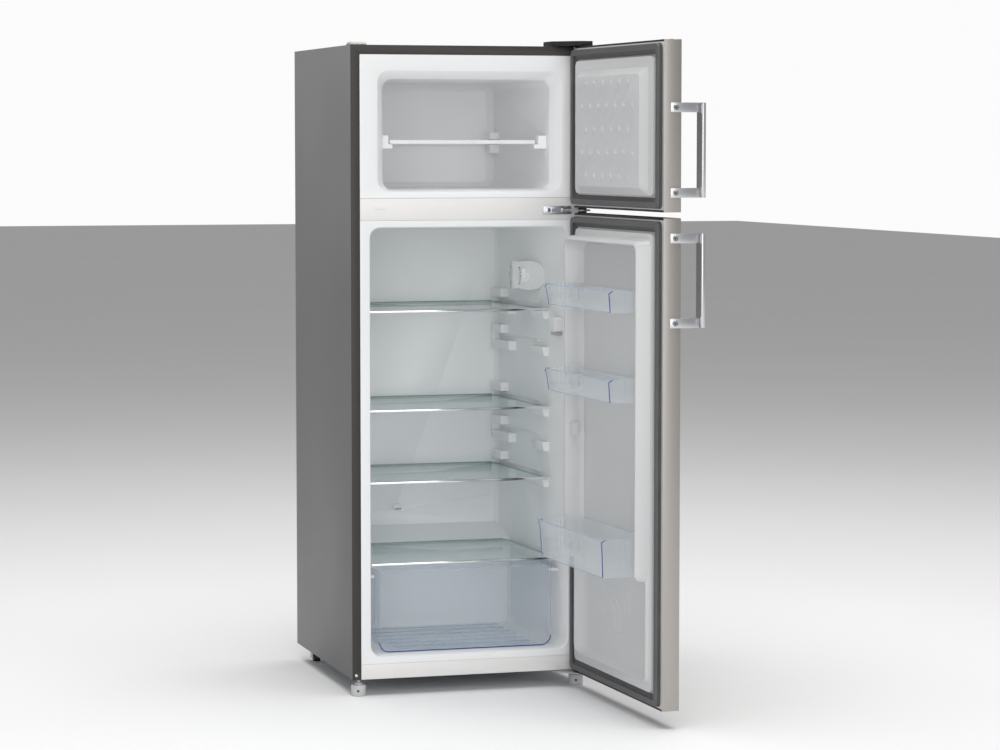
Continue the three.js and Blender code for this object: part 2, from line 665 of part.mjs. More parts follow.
function foodDoorVolume(z0, z1, s) {
  const foodFrame = (inset, low, high, radius) => {
    const x = half - ridge.sideInset - inset - s;
    return roundRect(-x, x, low + s, high - s, radius);
  };
  const top = z1 - ridge.endInset;
  const raised = loft('y', [
    [-20, foodFrame(-2, z0 + ridge.bottomInset, top, ridge.radius)],
    [ridge.height - 8 - s, foodFrame(2, z0 + ridge.bottomInset + 6, top - 5, ridge.radius)],
    [ridge.height - s, foodFrame(ridge.crown, z0 + ridge.bottomInset + 12, top - 12, ridge.radius)],
  ]);
  const low = z0 + lowRim.bottomInset;
  const lower = loft('y', [
    [-20, foodFrame(-2, low - 4, top - 40, ridge.radius)],
    [lowRim.height - 4 - s, foodFrame(0, low, top - 40, ridge.radius)],
    [lowRim.height - s, foodFrame(4, low + 4, top - 44, ridge.radius)],
  ]);
  const well = (y, spec, inset, ends, high) => {
    const x = half - spec.sideInset - inset + s;
    return [y, roundRect(-x, x, z0 + spec.bottomInset + ends - s, high - ends + s, spec.radius)];
  };
  const upperHigh = z1 - recess.endInset;
  const upperHollow = loft('y', [
    well(-recess.depth - s, recess, recess.taper, recess.endTaper, upperHigh),
    well(ridge.height + 5, recess, 0, 0, upperHigh),
  ]);
  const lowHigh = z0 + lowRecess.topInset;
  const lowHollow = loft('y', [
    well(-recess.depth - s, lowRecess, lowRecess.slope, lowRecess.endSlope, lowHigh),
    well(-recess.depth / 2 - s, lowRecess, lowRecess.slope * 0.42, lowRecess.endSlope * 0.42, lowHigh),
    well(lowRim.height + 2, lowRecess, 0, 0, lowHigh),
  ]);
  return cut(union(doorBack(z0, z1, s), rimBase(z0, z1, s), raised, lower), upperHollow, lowHollow);
}

/** Pads on the ridges' inner sides that a bin hangs on. */
function binLugs(floor) {
  return [-1, 1].map((side) => {
    const inner = half - bin.sideInset + 1.5;
    const outer = half - recess.sideInset - recess.taper / 2 + 1;
    const [x0, x1] = side < 0 ? [-outer, -inner] : [inner, outer];
    return box(x0, x1, 2, 16, floor + 4, floor + bin.hookHeight - 4);
  });
}

function doorGasket(z0, z1) {
  const ring = (inset, radius) => {
    const x = half - gasket.inset - inset;
    return roundRect(-x, x, z0 + gasket.inset + inset, z1 - gasket.inset - inset, radius);
  };
  const from = skinBack + seat;
  return cut(prism('y', ring(0, gasket.radius), from, from + gasket.thickness),
    prism('y', ring(gasket.width, 4), from - 1, from + gasket.thickness + 1));
}

/** Foam that fills a door between its steel, its end caps and its liner. */
function doorFoam(z0, z1, volume) {
  const low = z0 + door.cap + seat;
  const high = z1 - door.cap - seat;
  const block = box(-doorInside, doorInside, skinFront + door.sheet + seat, -20, low, high);
  const behindLiner = volume(z0, z1, liner.face + seat).intersect(
    box(-doorInside, doorInside, -28, 60, low, high));
  const hollowBelow = box(-doorInside, doorInside, skinFront, 60, low, high).subtract(
    volume(z0, z1, liner.face + seat));
  const keepClear = hollowBelow.intersect(box(-doorInside, doorInside, -29.9, 60, low, high));
  const socket = (from, to) => rod('z', pinX, pinY, pin.radius + pin.socketWall + seat, from, to, 16);
  return cut(union(block, behindLiner), keepClear, socket(z0 - 1, z0 + pin.socketDepth + seat),
    socket(z1 - pin.socketDepth - seat, z1 + 1));
}

function buildHandle(name, top, parent) {
  const wall = -half - seat;
  const outerFace = skinFront - handle.reach; // inner face of the bar
  const low = top - handle.length;
  const bar = roundRect(-half - 3, -half - 3 + handle.width, outerFace - handle.depth, outerFace - seat, 3,
    3);
  add(`${name}_handle_bar`, prism('z', bar, low, top), 'aluminium', parent);
  const t = bracket.thickness;
  const bend = skinFront - bracket.bend;
  const strip = polygon(
    [wall, skinFront + bracket.rear], [wall - t, skinFront + bracket.rear], [wall - t, bend],
      [wall + 6, outerFace],
    [wall + 22, outerFace], [wall + 22, outerFace + t], [wall + 6 + t, outerFace + t], [wall, bend],
  );
  const pads = { upper: top - handle.bracketHeight, lower: low };
  for (const [place, z] of Object.entries(pads)) {
    add(`${name}_handle_${place}_bracket`, prism('z', strip, z, z + handle.bracketHeight), 'aluminium',
      parent);
  }
}

function buildDoor(name, z0, z1, linerSolid, volume, handleTop) {
  const closed = openDoor();
  add(`${name}_door_skin`, doorSkin(z0, z1), 'stainless', closed);
  add(`${name}_door_liner`, linerSolid, 'greyLiner', closed);
  add(`${name}_door_gasket`, doorGasket(z0, z1), 'gasketGrey', closed);
  add(`${name}_door_top_cap`, doorCap(z1, -1), 'capGrey', closed);
  add(`${name}_door_bottom_cap`, doorCap(z0, 1), 'capGrey', closed);
  add(`${name}_door_foam`, doorFoam(z0, z1, volume), 'foam', closed);
  buildHandle(name, handleTop, closed);
  return closed;
}

/** Open-topped clear bin with hooks on both ends, in the closed door's frame. */
function doorBin({ level, height, front, back }) {
  const floor = levelZ(level);
  const x = half - bin.sideInset;
  const outline = (grow, z) => {
    const lean = bin.taper * (1 - (z - floor) / height);
    return roundRect(-x + lean - grow, x - lean + grow, -bin.rear - grow, front - lean + grow, 8, 3);
  };
  const top = floor + height;
  const outer = loft('z', [[floor, outline(-3, floor)], [floor + 4, outline(0, floor + 4)],
    [top, outline(0, top)]]);
  const inner = loft('z', [[floor + bin.wall, outline(-bin.wall - 2, floor)],
    [top + 1, outline(-bin.wall, top + 1)]]);
  const lowRear = box(-x, x, -bin.rear - 1, -bin.rear + bin.wall + 0.5, floor + back, top + 1);
  const hooks = [-1, 1].flatMap((side) => {
    const span = side < 0 ? [-x - bin.hookReach, -x + bin.taper + 2] : [
      x - bin.taper - 2, x + bin.hookReach];
    const capZ = floor + bin.hookHeight - 4 + seat;
    return [
      box(...span, -2, bin.hookFront - 0.4, capZ, capZ + 3),
      box(...span, -2, 2 - seat, floor + 8, capZ + 3),
      box(...span, 16 + seat, bin.hookFront, floor + 8, capZ + 3),
    ];
  });
  return union(cut(outer, inner, lowRear), ...hooks.map((hook) => hook.subtract(inner)));
}

function buildDoors() {
  const t = liner.face;
  const top = [doorSplit.high, door.top];
  const freezerLinerSolid = union(
    cut(freezerDoorVolume(...top, 0), freezerDoorVolume(...top, t),
      box(-half, half, -60, skinBack - t, 0, cabinet.top)),
    ...diamonds(...top),
  );
  buildDoor('freezer', ...top, freezerLinerSolid, freezerDoorVolume, door.top - handle.topBelow);

  const low = [door.bottom, doorSplit.low];
  const recessFloor = -recess.depth - t;
  const spare = levelZ(0.38);
  const lugs = [...Object.values(bins).map(({ level }) => levelZ(level)), spare].flatMap(binLugs);
  const foodLinerSolid = union(
    cut(foodDoorVolume(...low, 0), foodDoorVolume(...low, t),
      box(-half, half, -60, recessFloor, 0, cabinet.top)),
    ...lugs,
  );
  const closed = buildDoor('fridge', ...low, foodLinerSolid, foodDoorVolume,
    doorSplit.low - handle.lowBelow);
  for (const [name, spec] of Object.entries(bins)) add(`${name}_bin`, doorBin(spec), 'clear', closed);
}

// ---------------------------------------------------------------- inside the compartments

/** Glass plate that follows the tapered side walls, with a trim along its front edge. */
function glassShelf(z, front, rear) {
  const edge = (y) => foodWall(y) - shelf.sideGap;
  const plate = prism('z', polygon(
    [-edge(front), front], [edge(front), front], [edge(rear), rear], [-edge(rear), rear]),
    z, z + shelf.thickness);
  const trimZ = z + shelf.thickness / 2 - shelf.trimHeight / 2;
  const outline = roundRect(front - 4, front - 4 + shelf.trimDepth, trimZ, trimZ + shelf.trimHeight, 2, 2);
  const stop = edge(rear) - guide.reach - 2;
  return union(plate, prism('x', outline, -edge(front), edge(front)),
    box(-stop, stop, rear - 2.5, rear, z - 1, z - 1 + shelf.rearStop));
}

function crisperDrawer() {
  const { wall, front, length, height, cornerRadius, railReach, railHeight, lip } = crisper;
  const x = foodHalf - crisper.sideInset;
  const floor = drawerFloor;
  const top = floor + height;
  const rear = front + length;
  const outline = (inset, high) => roundRect(
    -x + inset, x - inset, floor + inset, high, cornerRadius - inset);
  const body = cut(
    prism('y', outline(3, top - 4 + 3), front + wall, rear),
      prism('y', outline(3 + wall, top + 60), front + 2 * wall, rear - wall),
    box(-x, x, front + 2 * wall, rear - wall, top - 30, top + 10),
  );
  const plate = prism('y', outline(0, top), front, front + 2 * wall);
  const runner = (side) => {
    const [x0, x1] = side < 0 ? [-x - railReach, -x + 3 + wall] : [x - 3 - wall, x + railReach];
    return box(x0, x1, front + 22, rear - 6, floor + railHeight - 4, floor + railHeight);
  };
  const rearWall = box(-x + 6, x - 6, rear - wall, rear, top - 34, top - 4);
  const grip = box(-x + cornerRadius, x - cornerRadius, front - lip, front + 1, top - 4, top - 0.8);
  const wallTop = (side) => {
    const [x0, x1] = side < 0 ? [-x + 3, -x + 3 + wall] : [x - 3 - wall, x - 3];
    return box(x0, x1, front + wall, rear, floor + 60, top - 4);
  };
  return union(body, plate, runner(-1), runner(1), rearWall, grip, wallTop(-1), wallTop(1));
}

function freezerShelf() {
  const z = wireZ;
  const x = wireHalf;
  const { front, rear, wire, bar, frame, pitch } = wireShelf;
  const count = Math.floor((2 * (x - frame)) / pitch);
  const parts = [
    box(-x, x, front, front + 4, z, z + bar), box(-x, x, rear - 4, rear, z, z + frame),
    box(-x, -x + 4, front, rear, z, z + frame), box(x - 4, x, front, rear, z, z + frame),
  ];
  for (let i = 0; i <= count; i++) {
    const wireX = (i - count / 2) * pitch;
    parts.push(box(wireX - wire / 2, wireX + wire / 2, front + 2, rear - 2, z + wire, z + 2 * wire - 0.2));
  }
  return union(...parts);
}

const podWall = foodWall(pod.front) + 1;
const podFace = (y) => podWall - (y - pod.front) * Math.tan((pod.tilt * Math.PI) / 180);

/** Lamp and thermostat housing on the right wall, shrunk by s: an oval with a leaning face,
  and its lens. */
function podVolume(s) {
  const root = podWall + 12;
  const rear = pod.front + pod.length;
  const lean = s * 1.1;
  const oval = (centre, along, up) => {
    const sides = 48;
    const points = [];
    for (let i = 0; i < sides; i++) {
      const angle = (2 * Math.PI * i) / sides;
      points.push([centre + (along - s) * Math.cos(angle), dial.z + (up - s) * Math.sin(angle)]);
    }
    return prism('x', polygon(...points), 60, root);
  };
  const slab = (...points) => prism('z', polygon(...points), 0, cabinet.top);
  const face = slab(
    [root, pod.front - 4], [podFace(pod.front - 4) + lean, pod.front - 4], [podFace(rear) + lean, rear],
    [root, rear],
  );
  const lensFront = pod.lensCentre - pod.lensHalf;
  const lensRear = pod.lensCentre + pod.lensHalf;
  const crest = podWall - pod.lensReach + s;
  const lens = slab(
    [root, lensFront], [podWall - pod.lensTail + s, lensFront], [crest, pod.split - 2],
      [crest, pod.split + 16],
    [podWall - pod.lensTail + s, lensRear], [root, lensRear],
  );
  return union(
    oval(pod.front + pod.length / 2, pod.length / 2, pod.halfHeight).intersect(face),
    oval(pod.lensCentre, pod.lensHalf, pod.lensHalfHeight).intersect(lens),
  );
}

/** Puts a piece made round x = 0, y = 0, z = 0, facing -x, on the housing's leaning face. */
const onPodFace = (solid) =>
  solid.rotate([0, 0, pod.tilt]).translate(podFace(dial.y), dial.y, dial.z);

function buildThermostat() {
  const cavity = compartment(foodHalf, foodSill, foodCeiling, foodShape, -seat);
  const shell = cut(podVolume(0), podVolume(pod.wall)).intersect(cavity);
  const ahead = box(0, half, pod.front - 5, pod.split, 0, cabinet.top);
  const behind = box(0, half, pod.split + seat, pod.lensCentre + pod.lensHalf + 5, 0, cabinet.top);
  const slice = box(0, half, pod.split - 3, pod.split, 0, cabinet.top);
  const partition = podVolume(0.5).intersect(slice).intersect(cavity);
  const shaftHole = onPodFace(rod('x', 0, 0, pin.radius + running, -5, 8, 16));
  add('thermostat_housing', cut(union(shell.intersect(ahead), partition), shaftHole), 'whiteLiner');
  add('lamp_lens', shell.intersect(behind), 'lens');
  const bulbProfile = [[0, 0], [5, 0], [5, 8], [9, 14], [9, 20], [5, 26], [0, 28]];
  const bulb = turned(bulbProfile, 0, 0, 0, 12).rotate([-90, 0, 0]);
  add('lamp_bulb', bulb.translate(podWall - 20, pod.split + seat, dial.z), 'glass');
  const grip = box(-seat - dial.height, -seat - 3, -4, 4, -dial.radius + 2, dial.radius - 2);
  add('thermostat_knob', onPodFace(union(
    rod('x', 0, 0, dial.radius, -seat - 4, -seat, 32), grip, rod('x', 0, 0, pin.radius, -seat - 1, 7, 16),
  )), 'whiteLiner');
}

function buildLampSwitch() {
  const cavity = compartment(foodHalf, foodSill, foodCeiling, foodShape, -seat);
  const { front, length, bottom, height, reach, travel } = lampSwitch;
  const wallX = foodWall(front + length);
  const body = prism('x', roundRect(front, front + length, bottom, bottom + height, 5, 3), wallX - reach,
    wallX + 8);
  add('light_switch', body.intersect(cavity), 'whiteLiner');
  const keyOutline = roundRect(front, front + length - travel - 4, bottom - 8, bottom - seat, 2, 2);
  const key = prism('x', keyOutline, wallX - reach + 3, wallX - 0.5);
  add('light_switch_plunger', key, 'lightGrey');
}

function buildInside() {
  add('freezer_shelf', freezerShelf(), 'whiteWire');
  for (const [name, share] of Object.entries(usedLevels)) {
    add(`${name}_glass_shelf`, glassShelf(levelZ(share), shelf.front, shelf.rear), 'glass');
  }
  add('crisper_cover', glassShelf(coverZ, crisper.coverFront, hump.front - 2), 'glass');
  add('crisper_drawer', crisperDrawer(), 'clear');
  buildThermostat();
  buildLampSwitch();
}

// ---------------------------------------------------------------- machinery, feet and rollers

const rollerY = cabinet.depth - roller.rear;
const rollerX = half - roller.side;

function compressorBase() {
  const z = cabinet.underside + seat;
  const rear = cabinet.depth - base.rear;
  const parts = [
    box(-inside + seat, inside - seat, base.front, rear, z, z + base.sheet),
    box(-inside + seat, inside - seat, base.front, base.front + base.sheet, z, z + base.lip),
    box(-inside + seat, inside - seat, rear - base.sheet, rear, z, z + base.lip),
  ];
  const reach = roller.width / 2 + roller.earClear;
  for (const x of [-rollerX, rollerX]) {
    for (const side of [-1, 1]) {
      const inner = x + side * reach;
      const outer = inner + side * roller.ear;
      parts.push(box(Math.min(inner, outer), Math.max(inner, outer), rollerY - 11, rollerY + 11,
        roller.radius - 8, z + 1));
    }
    parts.push(rod('x', rollerY, roller.radius, roller.axle, x - reach - roller.ear + 0.5,
      x + reach + roller.ear - 0.5, 16));
  }
  return union(...parts);
}

function compressorCan() {
  const z = cabinet.underside + seat + base.sheet + 6;
  const y = rearPanelY - can.rearGap - can.radiusY;
  const ellipse = (share) => circle(0, 0, 1, 28).map((p) =>
    new THREE.Vector2(can.centreX + p.x * can.radiusX * share, y + p.y * can.radiusY * share));
  const seam = can.height * 0.42;
  const profile = [[0, 0.72], [8, 0.9], [seam - 3, 0.96], [seam - 3, 1.0], [seam + 3, 1.0],
    [seam + 3, 0.96],
    [can.height * 0.78, 0.9], [can.height * 0.94, 0.66], [can.height, 0.3]];
  const dome = loft('z', profile.map(([h, share]) => [z + h, ellipse(share)]));
  const skid = box(can.centreX - 105, can.centreX + 105, y - 40, y + 40, z - 1, z + 2);
  return union(dome, skid);
}

function buildMachinery() {
  const trayZ = cabinet.underside + seat + base.sheet + 6 + can.height + 3;
  const canY = rearPanelY - can.rearGap - can.radiusY;
  add('compressor_base', compressorBase(), 'zinc');
  add('compressor', compressorCan(), 'blackSteel');
  const relayX = can.centreX - can.radiusX - 7;
  const relayZ = cabinet.underside + base.sheet + 30;
  add('relay_cover', box(relayX - 44, relayX, canY - 30, canY + 30, relayZ, relayZ + 62), 'black');
  const gland = rod('y', relayX - 22, relayZ + 16, 7, canY + 30 + seat, canY + 42, 16);
  add('cord_gland', cut(gland, rod('y', relayX - 22, relayZ + 16, 3.6, canY + 34, canY + 50, 12)), 'black');
  const tray = roundRect(can.centreX - 95, can.centreX + 85, canY - 48, canY + 50, 12, 3);
  const trayInner = roundRect(can.centreX - 93, can.centreX + 83, canY - 46, canY + 48, 10, 3);
  add('evaporation_tray', cut(prism('z', tray, trayZ, trayZ + 16),
    prism('z', trayInner, trayZ + 2, trayZ + 20)), 'black');

  const points = [];
  const step = (cabinet.top - coil.topBelow - coil.bottom) / (coil.passes - 1);
  const bendRadius = step / 2;
  const reach = half - coil.side - bendRadius;
  const y = rearPanelY + coil.behind;
  for (let pass = 0; pass < coil.passes; pass++) {
    const z = coil.bottom + pass * step;
    const side = pass % 2 === 0 ? 1 : -1;
    points.push(new THREE.Vector3(-side * reach, y, z));
    const turns = pass + 1 < coil.passes ? 6 : 0;
    for (let i = 0; i < turns; i++) {
      const a = (i / turns) * Math.PI;
      points.push(new THREE.Vector3(side * (reach + bendRadius * Math.sin(a)), y,
        z + bendRadius * (1 - Math.cos(a))));
    }
    if (turns === 0) points.push(new THREE.Vector3(side * reach, y, z));
  }
  add('condenser', tube(points, coil.radius, 8), 'blackSteel');
}

function buildFeet() {
  const { radius, height, stem, stemTop } = foot;
  const profile = [[0, 0], [radius - 2, 0], [radius, 2], [radius, height - 2], [radius - 1.5, height],
    [9, height],
    [9, height + 4], [stem, height + 4], [stem, stemTop], [0, stemTop]];
  add('front_left_foot', turned(profile, -half + foot.side, foot.front, 0), 'lightGrey');
  add('front_right_foot', turned(profile, half - foot.side, foot.front, 0), 'lightGrey');
  for (const [name, x] of [['rear_left_roller', -rollerX], ['rear_right_roller', rollerX]]) {
    const from = x - roller.width / 2;
    add(name, cut(rod('x', rollerY, roller.radius, roller.radius, from, from + roller.width, 32),
      rod('x', rollerY, roller.radius, roller.axle + running, from - 1, from + roller.width + 1,
        16)), 'black');
  }
}

buildCabinet();
buildHinges();
buildDoors();
buildInside();
buildMachinery();
buildFeet();

const bounds = new THREE.Box3().setFromObject(refrigerator);
const centre = bounds.getCenter(new THREE.Vector3());
refrigerator.position.set(-centre.x, -centre.y, -bounds.min.z);

export default refrigerator;
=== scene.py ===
"""Top freezer refrigerator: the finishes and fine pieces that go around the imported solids."""

import json
import math

import bmesh
import bpy
from bpy.props import FloatProperty, FloatVectorProperty, IntProperty, PointerProperty
from mathutils import Matrix, Vector

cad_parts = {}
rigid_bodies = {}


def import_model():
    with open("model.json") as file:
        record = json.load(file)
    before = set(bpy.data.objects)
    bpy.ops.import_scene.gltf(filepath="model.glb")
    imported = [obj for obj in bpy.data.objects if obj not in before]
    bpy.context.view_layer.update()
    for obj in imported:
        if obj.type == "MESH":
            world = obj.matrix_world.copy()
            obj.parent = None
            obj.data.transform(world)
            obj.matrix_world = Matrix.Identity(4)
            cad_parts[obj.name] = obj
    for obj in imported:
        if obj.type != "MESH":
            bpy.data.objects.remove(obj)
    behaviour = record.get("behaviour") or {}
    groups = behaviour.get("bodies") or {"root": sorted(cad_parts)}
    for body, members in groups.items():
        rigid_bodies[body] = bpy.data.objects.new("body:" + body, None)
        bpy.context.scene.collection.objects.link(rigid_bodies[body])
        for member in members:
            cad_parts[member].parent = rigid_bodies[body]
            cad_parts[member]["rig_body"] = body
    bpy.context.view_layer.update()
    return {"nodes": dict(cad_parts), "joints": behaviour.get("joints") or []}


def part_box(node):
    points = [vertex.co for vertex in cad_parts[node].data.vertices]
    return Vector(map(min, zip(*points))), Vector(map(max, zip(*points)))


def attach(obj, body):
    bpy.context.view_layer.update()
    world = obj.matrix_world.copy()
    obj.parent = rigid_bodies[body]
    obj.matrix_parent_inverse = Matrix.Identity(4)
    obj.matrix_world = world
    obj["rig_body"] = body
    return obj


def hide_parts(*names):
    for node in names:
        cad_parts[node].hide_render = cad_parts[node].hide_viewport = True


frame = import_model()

bl_info = {
    "name": "Top Freezer Refrigerator",
    "version": (1, 0, 0),
    "blender": (4, 5, 0),
    "location": "View3D > Sidebar > Refrigerator",
    "description": "Builds the finishes and fine pieces of a two-door refrigerator with its doors open",
    "category": "Object",
}

NODES = frame["nodes"]
CABINET_LOW, CABINET_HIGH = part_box("cabinet_shell")
MIDDLE_X = (CABINET_LOW.x + CABINET_HIGH.x) / 2
FRONT_Y = CABINET_LOW.y
HALF = (CABINET_HIGH.x - CABINET_LOW.x) * 500  # half the cabinet's width, millimetres
HINGE = next(j for j in frame["joints"] if j["name"] == "fridge_door_hinge")
OPEN_ANGLE = -math.radians(HINGE["range_deg"][0])


def in_cabinet(x, y, z):
    """A point in millimetres from the cabinet's middle, front face and the floor."""
    return Vector((x / 1000 + MIDDLE_X, y / 1000 + FRONT_Y, z / 1000))


PIN = Vector((HINGE["pos_m"][0], HINGE["pos_m"][1], 0))
DOOR_TURN = Matrix.Translation(PIN) @ Matrix.Rotation(OPEN_ANGLE, 4, "Z") @ Matrix.Translation(-PIN)


def on_door(x, y, z):
    """A point of a closed door, carried to where the open door is."""
    return DOOR_TURN @ in_cabinet(x, y, z)


def level(name, edge="top"):
    """Height of a node's top or bottom, in millimetres."""
    low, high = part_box(name)
    return (high.z if edge == "top" else low.z) * 1000


def depth_of(name):
    """Front and rear of a cabinet node, in millimetres from the cabinet's front face."""
    low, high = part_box(name)
    return (low.y - FRONT_Y) * 1000, (high.y - FRONT_Y) * 1000


def width_of(name):
    low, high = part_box(name)
    return (low.x - MIDDLE_X) * 1000, (high.x - MIDDLE_X) * 1000


# ------------------------------------------------------------------ materials


class Finish:
    """Short way to write one node material."""

    def __init__(self, name):
        self.material = bpy.data.materials.new(name)
        self.material.use_nodes = True
        self.tree = self.material.node_tree
        self.nodes = self.tree.nodes
        self.shader = self.nodes["Principled BSDF"]
        self.output = self.nodes["Material Output"]
        self.coordinates = self.nodes.new("ShaderNodeTexCoord")

    def link(self, source, target):
        self.tree.links.new(source, target)

    def noise(self, scale, stretch=(1, 1, 1), detail=4, roughness=0.5):
        mapping = self.nodes.new("ShaderNodeMapping")
        mapping.inputs["Scale"].default_value = stretch
        self.link(self.coordinates.outputs["Object"], mapping.inputs["Vector"])
        noise = self.nodes.new("ShaderNodeTexNoise")
        noise.inputs["Scale"].default_value = scale
        noise.inputs["Detail"].default_value = detail
        noise.inputs["Roughness"].default_value = roughness
        self.link(mapping.outputs["Vector"], noise.inputs["Vector"])
        return noise.outputs["Fac"]

    def tones(self, fac, dark, light, target):
        ramp = self.nodes.new("ShaderNodeValToRGB")
        ramp.color_ramp.elements[0].color = (*dark, 1)
        ramp.color_ramp.elements[1].color = (*light, 1)
        ramp.color_ramp.elements[0].position = 0.3
        ramp.color_ramp.elements[1].position = 0.7
        self.link(fac, ramp.inputs["Fac"])
        self.link(ramp.outputs["Color"], target)

    def span(self, fac, low, high, target):
        spread = self.nodes.new("ShaderNodeMapRange")
        spread.inputs["From Min"].default_value = 0.3
        spread.inputs["From Max"].default_value = 0.7
        spread.inputs["To Min"].default_value = low
        spread.inputs["To Max"].default_value = high
        self.link(fac, spread.inputs["Value"])
        self.link(spread.outputs["Result"], target)

    def paint_shade_towards_bottom(self, tone, low, high):
        """Painted shade: darkens the tone below, from one height to another in metres."""
        place = self.nodes.new("ShaderNodeSeparateXYZ")
        self.link(self.coordinates.outputs["Object"], place.inputs["Vector"])
        share = self.nodes.new("ShaderNodeMapRange")
        share.inputs["From Min"].default_value = low
        share.inputs["From Max"].default_value = high
        share.inputs["To Min"].default_value = 0.42
        share.inputs["To Max"].default_value = 1.0
        self.link(place.outputs["Z"], share.inputs["Value"])
        tint = self.nodes.new("ShaderNodeVectorMath")
        tint.operation = "SCALE"
        base = self.shader.inputs["Base Color"]
        self.link(base.links[0].from_socket, tint.inputs["Vector"])
        self.link(share.outputs["Result"], tint.inputs["Scale"])
        self.link(tint.outputs["Vector"], base)

    def relief(self, fac, strength, height):
        bump = self.nodes.new("ShaderNodeBump")
        bump.inputs["Strength"].default_value = strength
        bump.inputs["Distance"].default_value = height
        self.link(fac, bump.inputs["Height"])
        self.link(bump.outputs["Normal"], self.shader.inputs["Normal"])


def surface(name, tone, rough, metal=0.0, vary=0.04, scale=6, stretch=(1, 1, 1), grain=None, painted_shade_heights=None):
    """Material with a slow change of tone, a change of gloss and, if asked, a fine grain and painted shade
    that darkens it towards the bottom.
    """
    finish = Finish(name)
    slow = finish.noise(scale, stretch)
    dark = [c * (1 - vary) for c in tone]
    light = [min(1, c * (1 + vary)) for c in tone]
    finish.tones(slow, dark, light, finish.shader.inputs["Base Color"])
    if painted_shade_heights:
        finish.paint_shade_towards_bottom(tone, *painted_shade_heights)
    finish.shader.inputs["Metallic"].default_value = metal
    finish.span(slow, rough * 0.9, rough * 1.12, finish.shader.inputs["Roughness"])
    if grain:
        fine = finish.noise(grain[0], grain[3] if len(grain) > 3 else stretch, detail=3, roughness=0.6)
        finish.relief(fine, grain[1], grain[2])
    return finish.material


def see_through(name, tint, body, haze, gloss=0.06, edge=0.55, ior=1.45):
    """Clear wall: lets most light pass unbent, and shows more of its own colour at grazing angles."""
    finish = Finish(name)
    slow = finish.noise(9)
    shader = finish.shader
    finish.tones(slow, [c * 0.94 for c in body], body, shader.inputs["Base Color"])
    shader.inputs["Roughness"].default_value = gloss
    clear = finish.nodes.new("ShaderNodeBsdfTransparent")
    clear.inputs["Color"].default_value = (*tint, 1)
    weight = finish.nodes.new("ShaderNodeLayerWeight")
    weight.inputs["Blend"].default_value = 0.35
    share = finish.nodes.new("ShaderNodeMapRange")
    share.inputs["To Min"].default_value = haze
    share.inputs["To Max"].default_value = edge
    finish.link(weight.outputs["Facing"], share.inputs["Value"])
    mix = finish.nodes.new("ShaderNodeMixShader")
    finish.link(share.outputs["Result"], mix.inputs["Fac"])
    finish.link(clear.outputs["BSDF"], mix.inputs[1])
    finish.link(shader.outputs["BSDF"], mix.inputs[2])
    finish.link(mix.outputs["Shader"], finish.output.inputs["Surface"])
    return finish.material


M = {}


